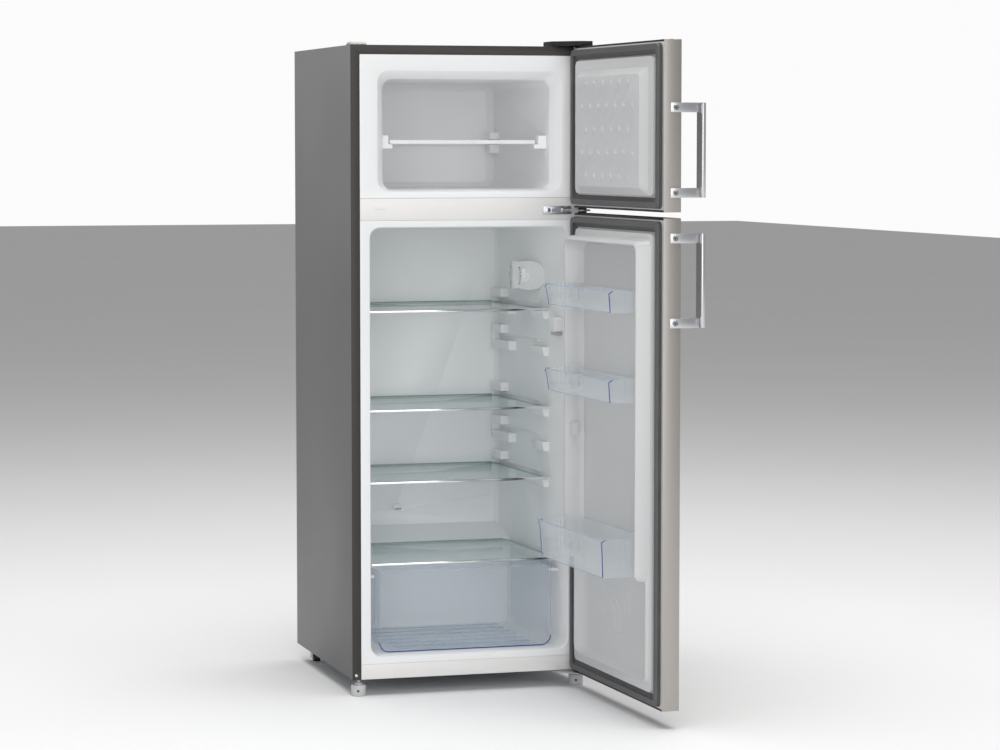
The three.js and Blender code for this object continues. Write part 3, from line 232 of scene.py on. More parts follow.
def make_materials():
    look = bpy.context.scene.refrigerator_finish
    side = tuple(look.side_colour)
    steel = tuple(look.door_colour)
    # The side paint gets painted shade: its colour darkens towards the bottom, from 1.4 m down to 0.3 m.
    M["side"] = surface("silver_side_paint", side, 0.42, 0.55, 0.05, 3, grain=(900, 0.35, 0.0006),
        painted_shade_heights=(0.3, 1.4))
    # The front edge gets its own near-black tone: a painted dark reflection of the room on what is the same
    # silver paint as the sides.
    M["flange"] = surface("dark_front_edge_paint", look.front_edge_reflection_colour, 0.5, 0.5, 0.10, 14,
        grain=(700, 0.5, 0.0006))
    M["steel"] = surface("brushed_door_steel", steel, 0.36, 0.85, 0.03, 5, (1, 1, 0.06),
        (600, 0.25, 0.0003, (1, 1, 0.02)))
    M["white"] = surface("white_inner_wall", look.liner_colour, 0.30, 0, 0.012, 3,
        grain=(160, 0.04, 0.0004))
    M["strip"] = surface("white_front_strip", (0.80, 0.79, 0.78), 0.42, 0, 0.015, 4,
        grain=(300, 0.06, 0.0003))
    M["door_wall"] = surface("grey_door_wall", look.door_liner_colour, 0.33, 0, 0.015, 3,
        grain=(140, 0.05, 0.0004))
    M["gasket"] = surface("grey_door_seal", (0.105, 0.105, 0.108), 0.6, 0, 0.10, 22,
        grain=(420, 0.15, 0.0003))
    M["cap"] = surface("dark_door_end_cap", (0.022, 0.022, 0.023), 0.5, 0, 0.12, 30,
        grain=(500, 0.2, 0.0003))
    M["black"] = surface("black_plastic", (0.010, 0.010, 0.011), 0.55, 0, 0.15, 25,
        grain=(600, 0.3, 0.0003))
    M["grey"] = surface("light_grey_plastic", (0.45, 0.45, 0.43), 0.42, 0, 0.05, 20,
        grain=(500, 0.12, 0.0002))
    M["foot"] = surface("pale_foot_plastic", (0.55, 0.55, 0.56), 0.3, 0, 0.05, 20, grain=(500, 0.1, 0.0002))
    M["aluminium"] = surface("satin_aluminium", look.handle_colour, 0.3, 0.9, 0.03, 12, (1, 1, 0.1),
        (900, 0.15, 0.0002, (1, 1, 0.03)))
    M["chrome"] = surface("polished_trim", (0.80, 0.81, 0.82), 0.12, 1.0, 0.03, 10)
    M["zinc"] = surface("zinc_plated_steel", (0.42, 0.44, 0.47), 0.3, 0.9, 0.12, 40,
        grain=(300, 0.1, 0.0003))
    M["screw"] = surface("bright_screw_steel", (0.55, 0.56, 0.58), 0.22, 1.0, 0.08, 60)
    M["enamel"] = surface("black_enamel", (0.012, 0.012, 0.013), 0.35, 0, 0.2, 18,
        grain=(200, 0.15, 0.0004))
    M["wire"] = surface("white_coated_wire", (0.84, 0.85, 0.87), 0.3, 0, 0.03, 30)
    M["foam"] = surface("insulation_foam", (0.70, 0.60, 0.36), 0.9, 0, 0.12, 60, grain=(220, 0.6, 0.002))
    M["lens"] = see_through("milky_lamp_lens", (0.95, 0.97, 1.0), (0.95, 0.96, 0.97), 0.72, 0.12, 0.95)
    M["glass"] = see_through("shelf_glass", (0.965, 0.985, 0.983), (0.80, 0.86, 0.86), 0.06, 0.03, 0.5)
    M["glass_edge"] = see_through("ground_glass_edge", (0.60, 0.70, 0.70), (0.30, 0.37, 0.37), 0.65, 0.2,
        0.9)
    M["clear"] = see_through("clear_plastic", (0.98, 0.985, 0.99), (0.84, 0.87, 0.89), 0.05, 0.05, 0.42)
    M["drawer"] = see_through("clear_drawer_plastic", (0.985, 0.989, 0.995), (0.80, 0.83, 0.87), 0.04,
        0.04, 0.34)
    M["blue"] = see_through("blue_edge_plastic", (0.16, 0.30, 0.72), (0.06, 0.13, 0.42), 0.55, 0.1, 0.9)
    M["pale_blue"] = see_through("pale_blue_edge_plastic", (0.88, 0.92, 0.97), (0.60, 0.68, 0.80), 0.18,
        0.08, 0.6)
    # Near-black for the dark mitre joints of the front edge, and as painted shade in the screw crosses, hex
    # sockets, drain slots and foot holes.
    M["dark_gap"] = surface("dark_gap", (0.01, 0.01, 0.01), 0.8, 0, 0.2, 40)


def dress(obj, *materials):
    obj.data.materials.clear()
    for name in materials:
        obj.data.materials.append(M[name])
    return obj


def dress_node(node, material):
    obj = NODES[node]
    if not obj.material_slots:
        obj.data.materials.append(M[material])
    for one in obj.material_slots:
        one.material = M[material]


# ------------------------------------------------------------------ meshes


def settle(obj):
    """Turns an object's modifiers into plain mesh."""
    depsgraph = bpy.context.evaluated_depsgraph_get()
    mesh = bpy.data.meshes.new_from_object(obj.evaluated_get(depsgraph))
    mesh.name = obj.name
    obj.modifiers.clear()
    obj.data = mesh
    return obj


def smooth(obj, angle=35):
    mesh = obj.data
    mesh.polygons.foreach_set("use_smooth", [True] * len(mesh.polygons))
    mesh.set_sharp_from_angle(angle=math.radians(angle))
    mesh.update()
    return obj


def round_edges(obj, width, segments=2, angle=32):
    bevel = obj.modifiers.new("edges", "BEVEL")
    bevel.width = width / 1000
    bevel.segments = segments
    bevel.limit_method = "ANGLE"
    bevel.angle_limit = math.radians(angle)
    bevel.use_clamp_overlap = True
    settle(obj)
    return smooth(obj, angle)


def make(name, points, faces, place=in_cabinet):
    """Object from points in millimetres, with its normals outside."""
    mesh = bpy.data.meshes.new(name)
    mesh.from_pydata([place(*p) for p in points], [], faces)
    shape = bmesh.new()
    shape.from_mesh(mesh)
    bmesh.ops.remove_doubles(shape, verts=shape.verts, dist=1e-7)
    bmesh.ops.recalc_face_normals(shape, faces=shape.faces)
    shape.to_mesh(mesh)
    shape.free()
    obj = bpy.data.objects.new(name, mesh)
    bpy.context.scene.collection.objects.link(obj)
    return obj


def skin(name, loops, place=in_cabinet, ring=False):
    """Surface over loops of equal count; a ring joins the last loop to the first."""
    count = len(loops[0])
    points = [p for loop in loops for p in loop]
    faces = []
    pairs = len(loops) if ring else len(loops) - 1
    for k in range(pairs):
        a, b = k * count, ((k + 1) % len(loops)) * count
        for i in range(count):
            j = (i + 1) % count
            faces.append((a + i, a + j, b + j, b + i))
    if not ring:
        faces.append(tuple(range(count)))
        faces.append(tuple(range((len(loops) - 1) * count, len(loops) * count)))
    return make(name, points, faces, place)


def rounded(u0, u1, v0, v1, radius, steps=6):
    """Corner-rounded rectangle as points (u, v)."""
    corners = [(u1 - radius, v1 - radius), (u0 + radius, v1 - radius), (u0 + radius, v0 + radius),
        (u1 - radius, v0 + radius)]
    points = []
    for quarter, (u, v) in enumerate(corners):
        for i in range(steps + 1):
            angle = (quarter + i / steps) * math.pi / 2
            points.append((u + radius * math.cos(angle), v + radius * math.sin(angle)))
    return points


def circle(u, v, radius, sides=24):
    return [(u + radius * math.cos(2 * math.pi * i / sides),
        v + radius * math.sin(2 * math.pi * i / sides)) for i in range(sides)]


def block(name, x, y, z, place=in_cabinet):
    """Box from three (low, high) pairs."""
    loops = [[(x[0], y[0], h), (x[1], y[0], h), (x[1], y[1], h), (x[0], y[1], h)] for h in z]
    return skin(name, loops, place)


def rod(name, start, end, radius, place=in_cabinet, sides=12):
    """Round bar between two points."""
    a, b = Vector(start), Vector(end)
    along = (b - a).normalized()
    side = along.cross(Vector((0, 0, 1)) if abs(along.z) < 0.9 else Vector((1, 0, 0))).normalized()
    up = side.cross(along)
    loops = []
    for centre in (a, b):
        loops.append([tuple(centre + side * u + up * v) for u, v in circle(0, 0, radius, sides)])
    return skin(name, loops, place)


def bead(name, path, radius, place=in_cabinet, closed=False, sides=8):
    """Round bead that follows a path."""
    points = [Vector(p) for p in path]
    last = len(points) - 1
    up = None
    loops = []
    for i, point in enumerate(points):
        before = points[i - 1] if closed or i else point
        after = points[(i + 1) % len(points)] if closed or i < last else point
        along = (after - before).normalized()
        if up is None:
            up = along.orthogonal().normalized()
        up = (up - along * up.dot(along)).normalized()
        side = along.cross(up)
        loops.append([tuple(point + up * u + side * v) for u, v in circle(0, 0, radius, sides)])
    return smooth(skin(name, loops, place, ring=closed), 60)


def merge(name, objects):
    """Joins objects into one, with their materials."""
    target = bpy.data.meshes.new(name)
    shape = bmesh.new()
    materials = []
    for obj in objects:
        part = bmesh.new()
        part.from_mesh(obj.data)
        slots = []
        for material in obj.data.materials:
            if material not in materials:
                materials.append(material)
            slots.append(materials.index(material))
        for face in part.faces:
            face.material_index = slots[face.material_index] if slots else 0
        copy = bpy.data.meshes.new("part")
        part.to_mesh(copy)
        part.free()
        shape.from_mesh(copy)
        bpy.data.meshes.remove(copy)
        bpy.data.objects.remove(obj)
    shape.to_mesh(target)
    shape.free()
    for material in materials:
        target.materials.append(material)
    joined_object = bpy.data.objects.new(name, target)
    bpy.context.scene.collection.objects.link(joined_object)
    return joined_object


def refined(node, name, *materials, edge=0.0, segments=2, angle=32, slot=None):
    """Cleaned copy of a CAD node with rounded edges, which stands for that node."""
    mesh = NODES[node].data.copy()
    mesh.name = name
    shape = bmesh.new()
    shape.from_mesh(mesh)
    bmesh.ops.remove_doubles(shape, verts=shape.verts, dist=2e-6)
    bmesh.ops.dissolve_limit(shape, angle_limit=math.radians(0.6), verts=shape.verts, edges=shape.edges)
    shape.to_mesh(mesh)
    shape.free()
    obj = bpy.data.objects.new(name, mesh)
    bpy.context.scene.collection.objects.link(obj)
    dress(obj, *materials)
    if edge:
        round_edges(obj, edge, segments, angle)
    else:
        smooth(obj, angle)
    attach(obj, NODES[node]["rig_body"])
    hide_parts(node)
    return obj


def paint(obj, index, test):
    """Gives the faces whose centre and normal pass a test another of the object's materials."""
    for polygon in obj.data.polygons:
        c = polygon.center
        local = ((c.x - MIDDLE_X) * 1000, (c.y - FRONT_Y) * 1000, c.z * 1000)
        if test(local, polygon.normal):
            polygon.material_index = index


def add_piece(obj, body, slot, *materials):
    if materials:
        dress(obj, *materials)
    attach(obj, body)
    return obj


# ------------------------------------------------------------------ repeats with Geometry Nodes


def row_tree():
    """Node group: copies of one piece in a straight row."""
    tree = bpy.data.node_groups.get("row_of_pieces")
    if tree:
        return tree
    tree = bpy.data.node_groups.new("row_of_pieces", "GeometryNodeTree")
    face = tree.interface
    face.new_socket("Piece", in_out="INPUT", socket_type="NodeSocketObject")
    face.new_socket("Count", in_out="INPUT", socket_type="NodeSocketInt")
    face.new_socket("Start", in_out="INPUT", socket_type="NodeSocketVector")
    face.new_socket("Step", in_out="INPUT", socket_type="NodeSocketVector")
    face.new_socket("Finish", in_out="INPUT", socket_type="NodeSocketMaterial")
    face.new_socket("Geometry", in_out="OUTPUT", socket_type="NodeSocketGeometry")
    nodes, links = tree.nodes, tree.links
    given = nodes.new("NodeGroupInput")
    result = nodes.new("NodeGroupOutput")
    line = nodes.new("GeometryNodeMeshLine")
    piece = nodes.new("GeometryNodeObjectInfo")
    spread = nodes.new("GeometryNodeInstanceOnPoints")
    real = nodes.new("GeometryNodeRealizeInstances")
    coat = nodes.new("GeometryNodeSetMaterial")
    links.new(given.outputs["Piece"], piece.inputs["Object"])
    links.new(given.outputs["Count"], line.inputs["Count"])
    links.new(given.outputs["Start"], line.inputs["Start Location"])
    links.new(given.outputs["Step"], line.inputs["Offset"])
    links.new(line.outputs["Mesh"], spread.inputs["Points"])
    links.new(piece.outputs["Geometry"], spread.inputs["Instance"])
    links.new(spread.outputs["Instances"], real.inputs["Geometry"])
    links.new(real.outputs["Geometry"], coat.inputs["Geometry"])
    links.new(given.outputs["Finish"], coat.inputs["Material"])
    links.new(coat.outputs["Geometry"], result.inputs["Geometry"])
    return tree


def row(name, piece, count, step, material):
    """Row of copies of a piece; step is in metres in the row frame, and the piece is used up."""
    tree = row_tree()
    holder = bpy.data.objects.new(name, bpy.data.meshes.new(name))
    bpy.context.scene.collection.objects.link(holder)
    modifier = holder.modifiers.new("row", "NODES")
    modifier.node_group = tree
    values = {"Piece": piece, "Count": count, "Start": (0.0, 0.0, 0.0), "Step": tuple(step),
        "Finish": M[material]}
    for item in tree.interface.items_tree:
        if item.item_type == "SOCKET" and item.in_out == "INPUT":
            modifier[item.identifier] = values[item.name]
    settle(holder)
    bpy.data.objects.remove(piece)
    holder.data.materials.clear()
    holder.data.materials.append(M[material])
    holder.data.polygons.foreach_set("material_index", [0] * len(holder.data.polygons))
    return smooth(holder, 40)


def offset(dx, dy, dz, place=in_cabinet):
    """A step in millimetres, as metres in the row frame."""
    return place(dx, dy, dz) - place(0, 0, 0)


# ------------------------------------------------------------------ settings


class FinishSettings(bpy.types.PropertyGroup):
    side_colour: FloatVectorProperty(name="Side paint", description="Silver paint of the sides and top",
                                     subtype="COLOR", size=3, default=(0.36, 0.36, 0.362))
    # Colour of the front edge: a painted dark reflection, much darker than the side paint.
    front_edge_reflection_colour: FloatVectorProperty(
        name="Front edge painted reflection", description="Painted dark reflection on the cabinet's folded front edge",
                                       subtype="COLOR", size=3, default=(0.050, 0.047, 0.045))
    door_colour: FloatVectorProperty(name="Door steel", description="Brushed steel of both doors",
                                     subtype="COLOR", size=3, default=(0.42, 0.395, 0.37))
    liner_colour: FloatVectorProperty(name="Inner walls", description="White plastic of both compartments",
                                      subtype="COLOR", size=3, default=(0.86, 0.865, 0.87))
    door_liner_colour: FloatVectorProperty(
        name="Door walls", description="Pale grey plastic inside the doors",
                                           subtype="COLOR", size=3, default=(0.62, 0.625, 0.63))
    handle_colour: FloatVectorProperty(name="Handles", description="Satin aluminium of the handles",
                                       subtype="COLOR", size=3, default=(0.62, 0.625, 0.64))


class DetailSettings(bpy.types.PropertyGroup):
    panel_edge: FloatProperty(name="Panel edge", description="Rounding of sheet metal edges, millimetres",
        default=1.1, min=0.1, max=4)
    shelf_wires: IntProperty(name="Shelf wires", description="Wires across the freezer shelf", default=15,
        min=4, max=40)
    drawer_ribs: IntProperty(name="Drawer ribs", description="Raised ribs on the drawer's floor",
        default=6, min=2, max=20)
    condenser_wires: IntProperty(name="Condenser wires", description="Upright wires across the condenser",
        default=26, min=4, max=80)
    bead_radius: FloatProperty(name="Edge bead",
        description="Radius of the tinted edge beads, millimetres", default=1.3, min=0.3, max=4)


class StudioSettings(bpy.types.PropertyGroup):
    key_power: FloatProperty(name="Key light", description="Power of the large front light", default=125,
        min=0, subtype="POWER")
    fill_power: FloatProperty(name="Fill light", description="Power of the light over the object",
        default=230, min=0, subtype="POWER")
    room_light: FloatProperty(name="Room light", description="Strength of the even light from all round",
        default=0.34, min=0, max=4)
    focal_length: FloatProperty(name="Focal length", description="Camera's focal length in millimetres",
        default=112.28, min=10, max=400)


# ------------------------------------------------------------------ cabinet


class REFRIGERATOR_OT_cabinet(bpy.types.Operator):
    """Painted cabinet wrap, rear and bottom panels, front strips and top cap"""

    bl_idname = "refrigerator.cabinet"
    bl_label = "Build the cabinet"

    def execute(self, context):
        edge = context.scene.refrigerator_detail.panel_edge
        wrap = refined("cabinet_shell", "cabinet_wrap", "side", "flange", edge=edge, slot="silver_paint")
        # Faces of the front edge that face the front get the near-black tone, a painted dark reflection.
        paint(wrap, 1, lambda c, n: c[1] < 1.6 and n.y < -0.2)
        self.seams()
        refined("rear_panel", "rear_sheet", "side", slot="silver_paint")
        refined("bottom_panel", "bottom_sheet", "zinc", slot="zinc_steel")
        refined("centre_rail", "centre_strip", "strip", edge=0.6, slot="white_liner")
        refined("kick_plate", "base_strip", "strip", edge=0.6, slot="white_liner")
        refined("corner_cap", "top_corner_cap", "grey", edge=0.6, slot="light_grey_plastic")
        self.rail_plug()
        for node in ("cabinet_foam", "freezer_evaporator", "fridge_evaporator"):
            dress_node(node, "foam" if node.endswith("foam") else "aluminium")
        return {"FINISHED"}

    def seams(self):
        """Mitred corners of the front edge, and its small screw."""
        top = level("cabinet_shell")
        lines = []
        for side in (-1, 1):
            a, b = (side * (HALF - 0.8), top - 0.8), (side * (HALF - 19.6), top - 19.6)
            flat = [(a[0] - 0.3, a[1] + 0.3), (a[0] + 0.3, a[1] - 0.3), (b[0] + 0.3, b[1] - 0.3),
                (b[0] - 0.3, b[1] + 0.3)]
            lines.append(skin(f"mitre{side}", [[(u, y, v) for u, v in flat] for y in (-0.06, 0.6)]))
        add_piece(merge("front_edge_mitres", lines), "cabinet", "silver_paint", "dark_gap")
        head = [[(u, y, v) for u, v in circle(-HALF + 9, level("cabinet_shell", "bottom") + 10, r, 20)]
            for y, r in ((0.5, 3.6), (-0.8, 3.4), (-1.3, 2.2))]
        add_piece(smooth(skin("front_edge_screw", head), 30), "cabinet", "zinc_steel", "screw")

    def rail_plug(self):
        low, high = level("centre_rail", "bottom"), level("centre_rail")
        z = (low + high) / 2 + 3.5
        loops = [[(u, y, v) for u, v in rounded(
            -HALF + 52 + g, -HALF + 81 - g, z - 3.4 + g, z + 3.4 - g, 3.3 - g, 5)]
            for y, g in ((0.6, 0), (-0.5, 0), (-0.9, 0.5))]
        add_piece(smooth(skin("rail_blanking_plug", loops), 30), "cabinet", "white_liner", "strip")


class REFRIGERATOR_OT_compartments(bpy.types.Operator):
    """Freezer and fresh food inner boxes with their drain cover"""

    bl_idname = "refrigerator.compartments"
    bl_label = "Build the compartments"

    def execute(self, context):
        refined("freezer_liner", "freezer_compartment", "white", edge=1.6, angle=24, slot="white_liner")
        refined("fridge_liner", "food_compartment", "white", edge=1.4, angle=24, slot="white_liner")
        refined("drain_cover", "drain_arch", "white", edge=1.2, slot="white_liner")
        refined("drain_hose", "drain_pipe", "grey", slot="light_grey_plastic")
        low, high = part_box("drain_cover")
        x = ((low.x + high.x) / 2 - MIDDLE_X) * 1000
        y = (low.y - FRONT_Y) * 1000
        z = low.z * 1000
        # The drain slots are near-black blocks on the cover: painted shade in the openings.
        slots = [block(f"slot{i}", (x - 6 + i * 5, x - 3.4 + i * 5), (y - 0.25, y + 1), (z + 1.2, z + 4))
            for i in range(3)]
        add_piece(merge("drain_arch_slots", slots), "cabinet", "white_liner", "dark_gap")
        return {"FINISHED"}


# ------------------------------------------------------------------ hinges


def screw(name, x, y, z, radius, place=in_cabinet):
    """Cross-head screw whose head faces -Y."""
    loops = [[(u, y + d, v) for u, v in circle(x, z, r, 24)]
        for d, r in ((0.6, radius), (-0.9, radius), (-1.7, radius * 0.7), (-1.8, radius * 0.45))]
    head = smooth(skin(name, loops, place), 40)
    dress(head, "screw")
    across = (x - radius * 0.5, x + radius * 0.5)
    upright = (z - radius * 0.5, z + radius * 0.5)
    # The cross recess is two near-black bars across the head: painted shade in the recess.
    arms = [
        block(name + "_a", across, (y - 2.0, y - 1.6), (z - 0.45, z + 0.45), place),
        block(name + "_b", (x - 0.45, x + 0.45), (y - 2.02, y - 1.6), upright, place),
    ]
    for arm in arms:
        dress(arm, "dark_gap")
    return merge(name, [head, *arms])


class REFRIGERATOR_OT_hinges(bpy.types.Operator):
    """Top hinge under its cover, centre hinge with its screws and bottom hinge"""

    bl_idname = "refrigerator.hinges"
    bl_label = "Build the hinges"

    def execute(self, context):
        refined("top_hinge", "top_hinge_plate", "zinc", edge=0.4, slot="zinc_steel")
        refined("top_hinge_cover", "top_hinge_hood", "black", edge=1.4, segments=3, slot="black_plastic")
        refined("centre_hinge", "centre_hinge_plate", "zinc", edge=0.5, slot="zinc_steel")
        refined("bottom_hinge", "bottom_hinge_plate", "zinc", edge=0.5, slot="zinc_steel")
        left, right = width_of("centre_hinge")
        front = -3.4
        z = (level("centre_hinge") + level("centre_hinge", "bottom")) / 2
        screws = [screw(f"hinge_screw{i}", left + 12 + i * 35, front, z, 5.6) for i in range(2)]
        add_piece(merge("centre_hinge_screws", screws), "cabinet", "zinc_steel")
        pad = [[(u, y, v) for u, v in rounded(left + 20, left + 41, z - 4.2, z + 4.2, 3, 4)]
            for y in (front + 0.4, front - 0.7)]
        add_piece(smooth(skin("centre_hinge_boss", pad), 30), "cabinet", "zinc_steel", "zinc")
        return {"FINISHED"}


# ------------------------------------------------------------------ doors


SEAL = [
    (7, -12.2), (7, -10.8), (9.2, -10.0), (8.0, -8.9), (7.8, -7.9), (9.6, -7.1), (8.4, -6.1), (8.2, -2.0),
    (9.2, -1.25), (19.6, -1.25), (20.6, -2.0), (20.4, -5.6), (18.8, -6.6), (21.6, -7.8), (26.4, -9.4),
    (29, -10.6), (29, -12.2),
]


class REFRIGERATOR_OT_doors(bpy.types.Operator):
    """Both doors: brushed skins, end caps, seals and moulded inner walls"""

    bl_idname = "refrigerator.doors"
    bl_label = "Build the doors"

    def execute(self, context):
        for door in ("freezer", "fridge"):
            body = f"{door}_door"
            refined(f"{door}_door_skin", f"{door}_door_panel", "steel", edge=1.3, segments=3,
                slot="stainless")
            refined(f"{door}_door_top_cap", f"{door}_door_upper_end", "cap", edge=0.5, slot="cap_grey")
            refined(f"{door}_door_bottom_cap", f"{door}_door_lower_end", "cap", edge=0.5, slot="cap_grey")
            refined(f"{door}_door_liner", f"{door}_door_wall", "door_wall", edge=1.5, angle=24,
                slot="grey_liner")
            dress_node(f"{door}_door_foam", "foam")
            self.seal(door, body)
        self.fruit()
        self.plugs()
        return {"FINISHED"}

    def seal(self, door, body):
        bottom, top = level(f"{door}_door_skin", "bottom"), level(f"{door}_door_skin")
        loops = []
        for inset, y in SEAL:
            radius = max(3, 12 - (inset - 7) * 0.35)
            outline = rounded(-HALF + inset, HALF - inset, bottom + inset, top - inset, radius, 5)
            loops.append([(u, y, v) for u, v in outline])
        obj = smooth(skin(f"{door}_door_seal", loops, on_door, ring=True), 28)
        add_piece(obj, body, "gasket_rubber", "gasket")
        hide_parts(f"{door}_door_gasket")

    def fruit(self):
        """Raised fruit outlines low on the fridge door's inner wall."""
        y = -15.9
        shapes = [(-62, 232, 20, 40, 0.25), (8, 205, 22, 46, -0.35), (92, 205, 24, 34, 0.1)]
        outlines = []
        for i, (x, z, a, b, lean) in enumerate(shapes):
            path = []
            for k in range(36):
                t = 2 * math.pi * k / 36
                swell = 1 + 0.22 * math.sin(t) * (1 if i != 1 else -0.8)
                u, v = a * math.cos(t) * (1.15 - 0.35 * swell), b * math.sin(t) * swell * 0.8
                path.append((x + u * math.cos(lean) - v * math.sin(lean), y,
                    z + u * math.sin(lean) + v * math.cos(lean)))
            outlines.append(bead(f"fruit{i}", path, 0.9, on_door, closed=True, sides=6))
            stalk = [(x - 2 + lean * 8 + 5 * s * s, y, z + b * 0.9 + 14 * s) for s in (0, 0.35, 0.7, 1)]
            outlines.append(bead(f"stalk{i}", stalk, 0.8, on_door, sides=6))
        add_piece(merge("door_wall_fruit_outlines", outlines), "fridge_door", "grey_liner", "door_wall")

    def plugs(self):
        """Blind plugs over the spare hinge holes at the free ends."""
        for door in ("freezer", "fridge"):
            z = level(f"{door}_door_top_cap")
            loops = [[(u, v, z + h) for u, v in circle(-HALF + 15.5, -33.8, r, 20)]
                for h, r in ((-0.5, 5.5), (0.5, 5.5), (0.9, 4.6))]
            add_piece(smooth(skin(f"{door}_door_hole_plug", loops, on_door), 30), f"{door}_door",
                "cap_grey", "cap")


class REFRIGERATOR_OT_handles(bpy.types.Operator):
    """Straight bar handles on bent brackets with round screw caps"""

    bl_idname = "refrigerator.handles"
    bl_label = "Build the handles"

    def execute(self, context):
        for door in ("freezer", "fridge"):
            refined(f"{door}_handle_bar", f"{door}_handle_grip", "aluminium", edge=0.5, slot="aluminium")
            caps = []
            for place in ("upper", "lower"):
                node = f"{door}_handle_{place}_bracket"
                refined(node, f"{door}_handle_{place}_arm", "aluminium", edge=0.6, slot="aluminium")
                z = (level(node) + level(node, "bottom")) / 2
                outer = -HALF - 3.6
                loops = [[(outer + d, u, v) for u, v in circle(-37.9, z, r, 28)]
                    for d, r in ((0.5, 6.35), (-0.9, 6.35), (-1.4, 5.7), (-1.4, 4.3), (-0.7, 4.0))]
                cap = smooth(skin(f"cap_{place}", loops, on_door), 30)
                dress(cap, "screw")
                # The hex socket is a near-black hexagon: painted shade in the recess.
                socket = [[(outer + d, u, v) for u, v in circle(-37.9, z, 1.9, 6)] for d in (-0.2, -0.95)]
                hexagon = skin(f"socket_{place}", socket, on_door)
                dress(hexagon, "dark_gap")
                caps += [cap, hexagon]
            add_piece(merge(f"{door}_handle_screw_caps", caps), f"{door}_door", "aluminium")
        return {"FINISHED"}


# ------------------------------------------------------------------ storage


class REFRIGERATOR_OT_shelves(bpy.types.Operator):
    """Freezer wire shelf, glass shelves and the drawer's glass cover"""

    bl_idname = "refrigerator.shelves"
    bl_label = "Build the shelves"

    def execute(self, context):
        self.wire_shelf(context.scene.refrigerator_detail.shelf_wires)
        for name in ("upper", "middle", "lower"):
            self.glass(f"{name}_glass_shelf", f"{name}_shelf_glass")
        self.glass("crisper_cover", "drawer_cover_glass")
        return {"FINISHED"}

    def glass(self, node, name):
        front, rear = depth_of(node)
        obj = refined(node, name, "glass", "chrome", "glass_edge", edge=0.35, slot="glass")
        top = level(node)
        paint(obj, 2, lambda c, n: abs(n.z) < 0.5 and c[1] > front + 8)
        paint(obj, 1, lambda c, n: c[1] < front + 9.6)
        return obj

    def wire_shelf(self, count):
        node = "freezer_shelf"
        (left, right), (front, rear) = width_of(node), depth_of(node)
        base, top = level(node, "bottom"), level(node)
        loop = [(u, v, base + 3) for u,
            v in rounded(left + 2.5, right - 2.5, front + 2.5, rear - 2.5, 9, 6)]
        parts = [bead("rim", loop, 2.5, closed=True, sides=10)]
        bar = [[(u, v[0], v[1]) for v in rounded(front, front + 3.6, base + 0.2, top, 1.6, 3)]
            for u in (left + 4, right - 4)]
        parts.append(smooth(skin("bar", bar), 40))
        pitch = (right - left - 22) / (count - 1)
        z = base + 6.2
        path = [(left + 11, front + 1.8, z - 1.5), (left + 11, front + 3.5, z), (left + 11, rear - 4, z),
            (left + 11, rear - 2.6, z - 3)]
        parts.append(row("wires", bead("wire", path, 1.5, sides=8), count, offset(pitch, 0, 0), "wire"))
        for y in (front + 120, front + 245):
            parts.append(rod("cross", (left + 2, y, base + 3), (right - 2, y, base + 3), 1.8))
        for part in parts:
            dress(part, "wire")
        obj = add_piece(merge("freezer_wire_shelf", parts), "freezer_shelf", "white_wire")
        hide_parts(node)


class REFRIGERATOR_OT_drawer(bpy.types.Operator):
    """Clear drawer with tinted front edge, tinted corner lines, top edge and floor ribs"""

    bl_idname = "refrigerator.drawer"
    bl_label = "Build the drawer"

    def execute(self, context):
        detail = context.scene.refrigerator_detail
        body = "crisper_drawer"
        refined(body, "drawer_box", "drawer", edge=0.8, slot="clear_plastic")
        (left, right), (front, rear) = width_of(body), depth_of(body)
        low, high = level(body, "bottom"), level(body)
        front += 7
        outline = rounded(left + 10.6, right - 10.6, low + 0.6, high + 30, 21.5, 8)
        path = [(u, front + 0.4, min(v, high - 10)) for u, v in outline if v < high - 8]
        lowest = [p for p in path]
        lowest.sort(key=lambda p: math.atan2(p[0], -(p[2] - high)))
        edge = bead("drawer_front_edge", lowest, detail.bead_radius)
        add_piece(edge, body, "clear_plastic", "blue")
        for side, u in (("left", left + 4.5), ("right", right - 4.5)):
            line = bead(f"drawer_{side}_corner", [(u, front + 18, low + 34), (u, front + 18, high - 12)],
                0.9)
            add_piece(line, body, "clear_plastic", "pale_blue")
        lip = bead("drawer_top_edge", [
            (left + 14, front - 1.2, high - 1.4), (right - 14, front - 1.2, high - 1.4)], 1.2)
        add_piece(lip, body, "clear_plastic", "pale_blue")
        floor = low + 5.6
        step = (rear - front - 70) / (detail.drawer_ribs - 1)
        rib = round_edges(block("rib", (left + 50, right - 50), (front + 28, front + 40),
            (floor, floor + 1.6)), 0.7)
        ribs = row("drawer_floor_ribs", rib, detail.drawer_ribs, offset(0, step, 0), "pale_blue")
        add_piece(ribs, body, "clear_plastic")
        return {"FINISHED"}


